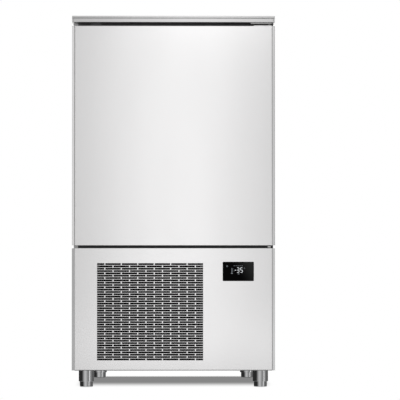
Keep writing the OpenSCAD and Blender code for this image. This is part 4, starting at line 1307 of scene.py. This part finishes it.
@dataclass
class Cabinet:
    """The cabinet's sheets and display glass, and the dark bead, hem and rims of its front panel, which paint
    its shade; the bead is also sealant.
    """

    bead_span: Span = (70.0 * MM, 541.0 * MM)
    glass_edge: float = 0.4 * MM

    def sheet(self, node: str, finish: Finish, *trims: tuple[Finish, FaceTest]) -> None:
        """Makes one sheet part."""
        FoldedSheet("cabinet", node, "satin_steel", finish, trims=trims).build()

    def build(self) -> None:
        """Makes every part."""
        self.sheet("back_panel", SATIN_STEEL)
        # Painted shade: the front faces of the side folds, the front of the top and the hinge brackets get
        # darker copies of the satin steel.
        for node, fold in FRONT_FOLD_SHADES.items():
            self.sheet(node, SATIN_STEEL, (fold, faces_front))
        self.sheet("top_panel", SATIN_STEEL, (SHADED_CAP_STEEL, cap_front), (SHADE_STEEL, cap_joint))
        self.sheet("hinge_bracket_top", SHADED_PLATE_STEEL)
        self.sheet("hinge_bracket_bottom", SHADE_STEEL, (SHADED_EDGE_STEEL, near_pin))
        JointShadeBead("base_bead_right", "cabinet", 1, self.bead_span).build()
        LowerShadowHem().build()
        SlotShadeRims().build()
        FoldedSheet("cabinet", "display_glass", "display_black", DISPLAY_BLACK, self.glass_edge).build()


@dataclass
class Door:
    """The door's sheets, bushes and seal, and the beads beside its skin, which are sealant and also paint the
    shade in its steps.
    """

    bead_span: Span = (556.5 * MM, 1406.5 * MM)
    left_bead_r: float = 1.7 * MM
    bush_edge: float = 0.3 * MM
    roll_edge: float = 1.2 * MM
    seal_edge: float = 1.2 * MM

    def sheets(self) -> Iterable[FoldedSheet]:
        """The softened parts, in the order they are made."""
        # Painted shade: the bushes, the end caps and parts of the door's edge get darker copies of the satin
        # steel.
        bush = ((SHADE_STEEL, low_bush),)
        roll = ((SHADED_FOLD_STEEL, faces_front), (SHADE_STEEL, outer_roll))
        yield FoldedSheet("door", "hinge_bushes", "inner_steel", SHADED_FOLD_STEEL, self.bush_edge, trims=bush)
        yield FoldedSheet("door", "door_skin", "satin_steel", SATIN_STEEL)
        yield FoldedSheet("door", "door_grip", "inner_steel", SATIN_STEEL)
        yield FoldedSheet("door", "door_edge", "inner_steel", SATIN_STEEL, self.roll_edge, trims=roll)
        yield FoldedSheet("door", "door_end_caps", "inner_steel", SHADED_EDGE_STEEL)
        yield FoldedSheet("door", "door_seal", "seal_rubber", SEAL_RUBBER, self.seal_edge, steps=3)

    def build(self) -> None:
        """Makes every part."""
        for sheet in self.sheets():
            sheet.build()
        JointShadeBead("door_bead_left", "door", -1, self.bead_span, self.left_bead_r).build()
        JointShadeBead("door_bead_right", "door", 1, self.bead_span).build()


def main() -> None:
    """Builds the studio and the machine."""
    Studio().build()
    dress_nodes()
    Cabinet().build()
    Door().build()
    for place in LEG_PLACES:
        Leg(place).build()
    DisplayFace().build()


if __name__ == "__main__":
    main()
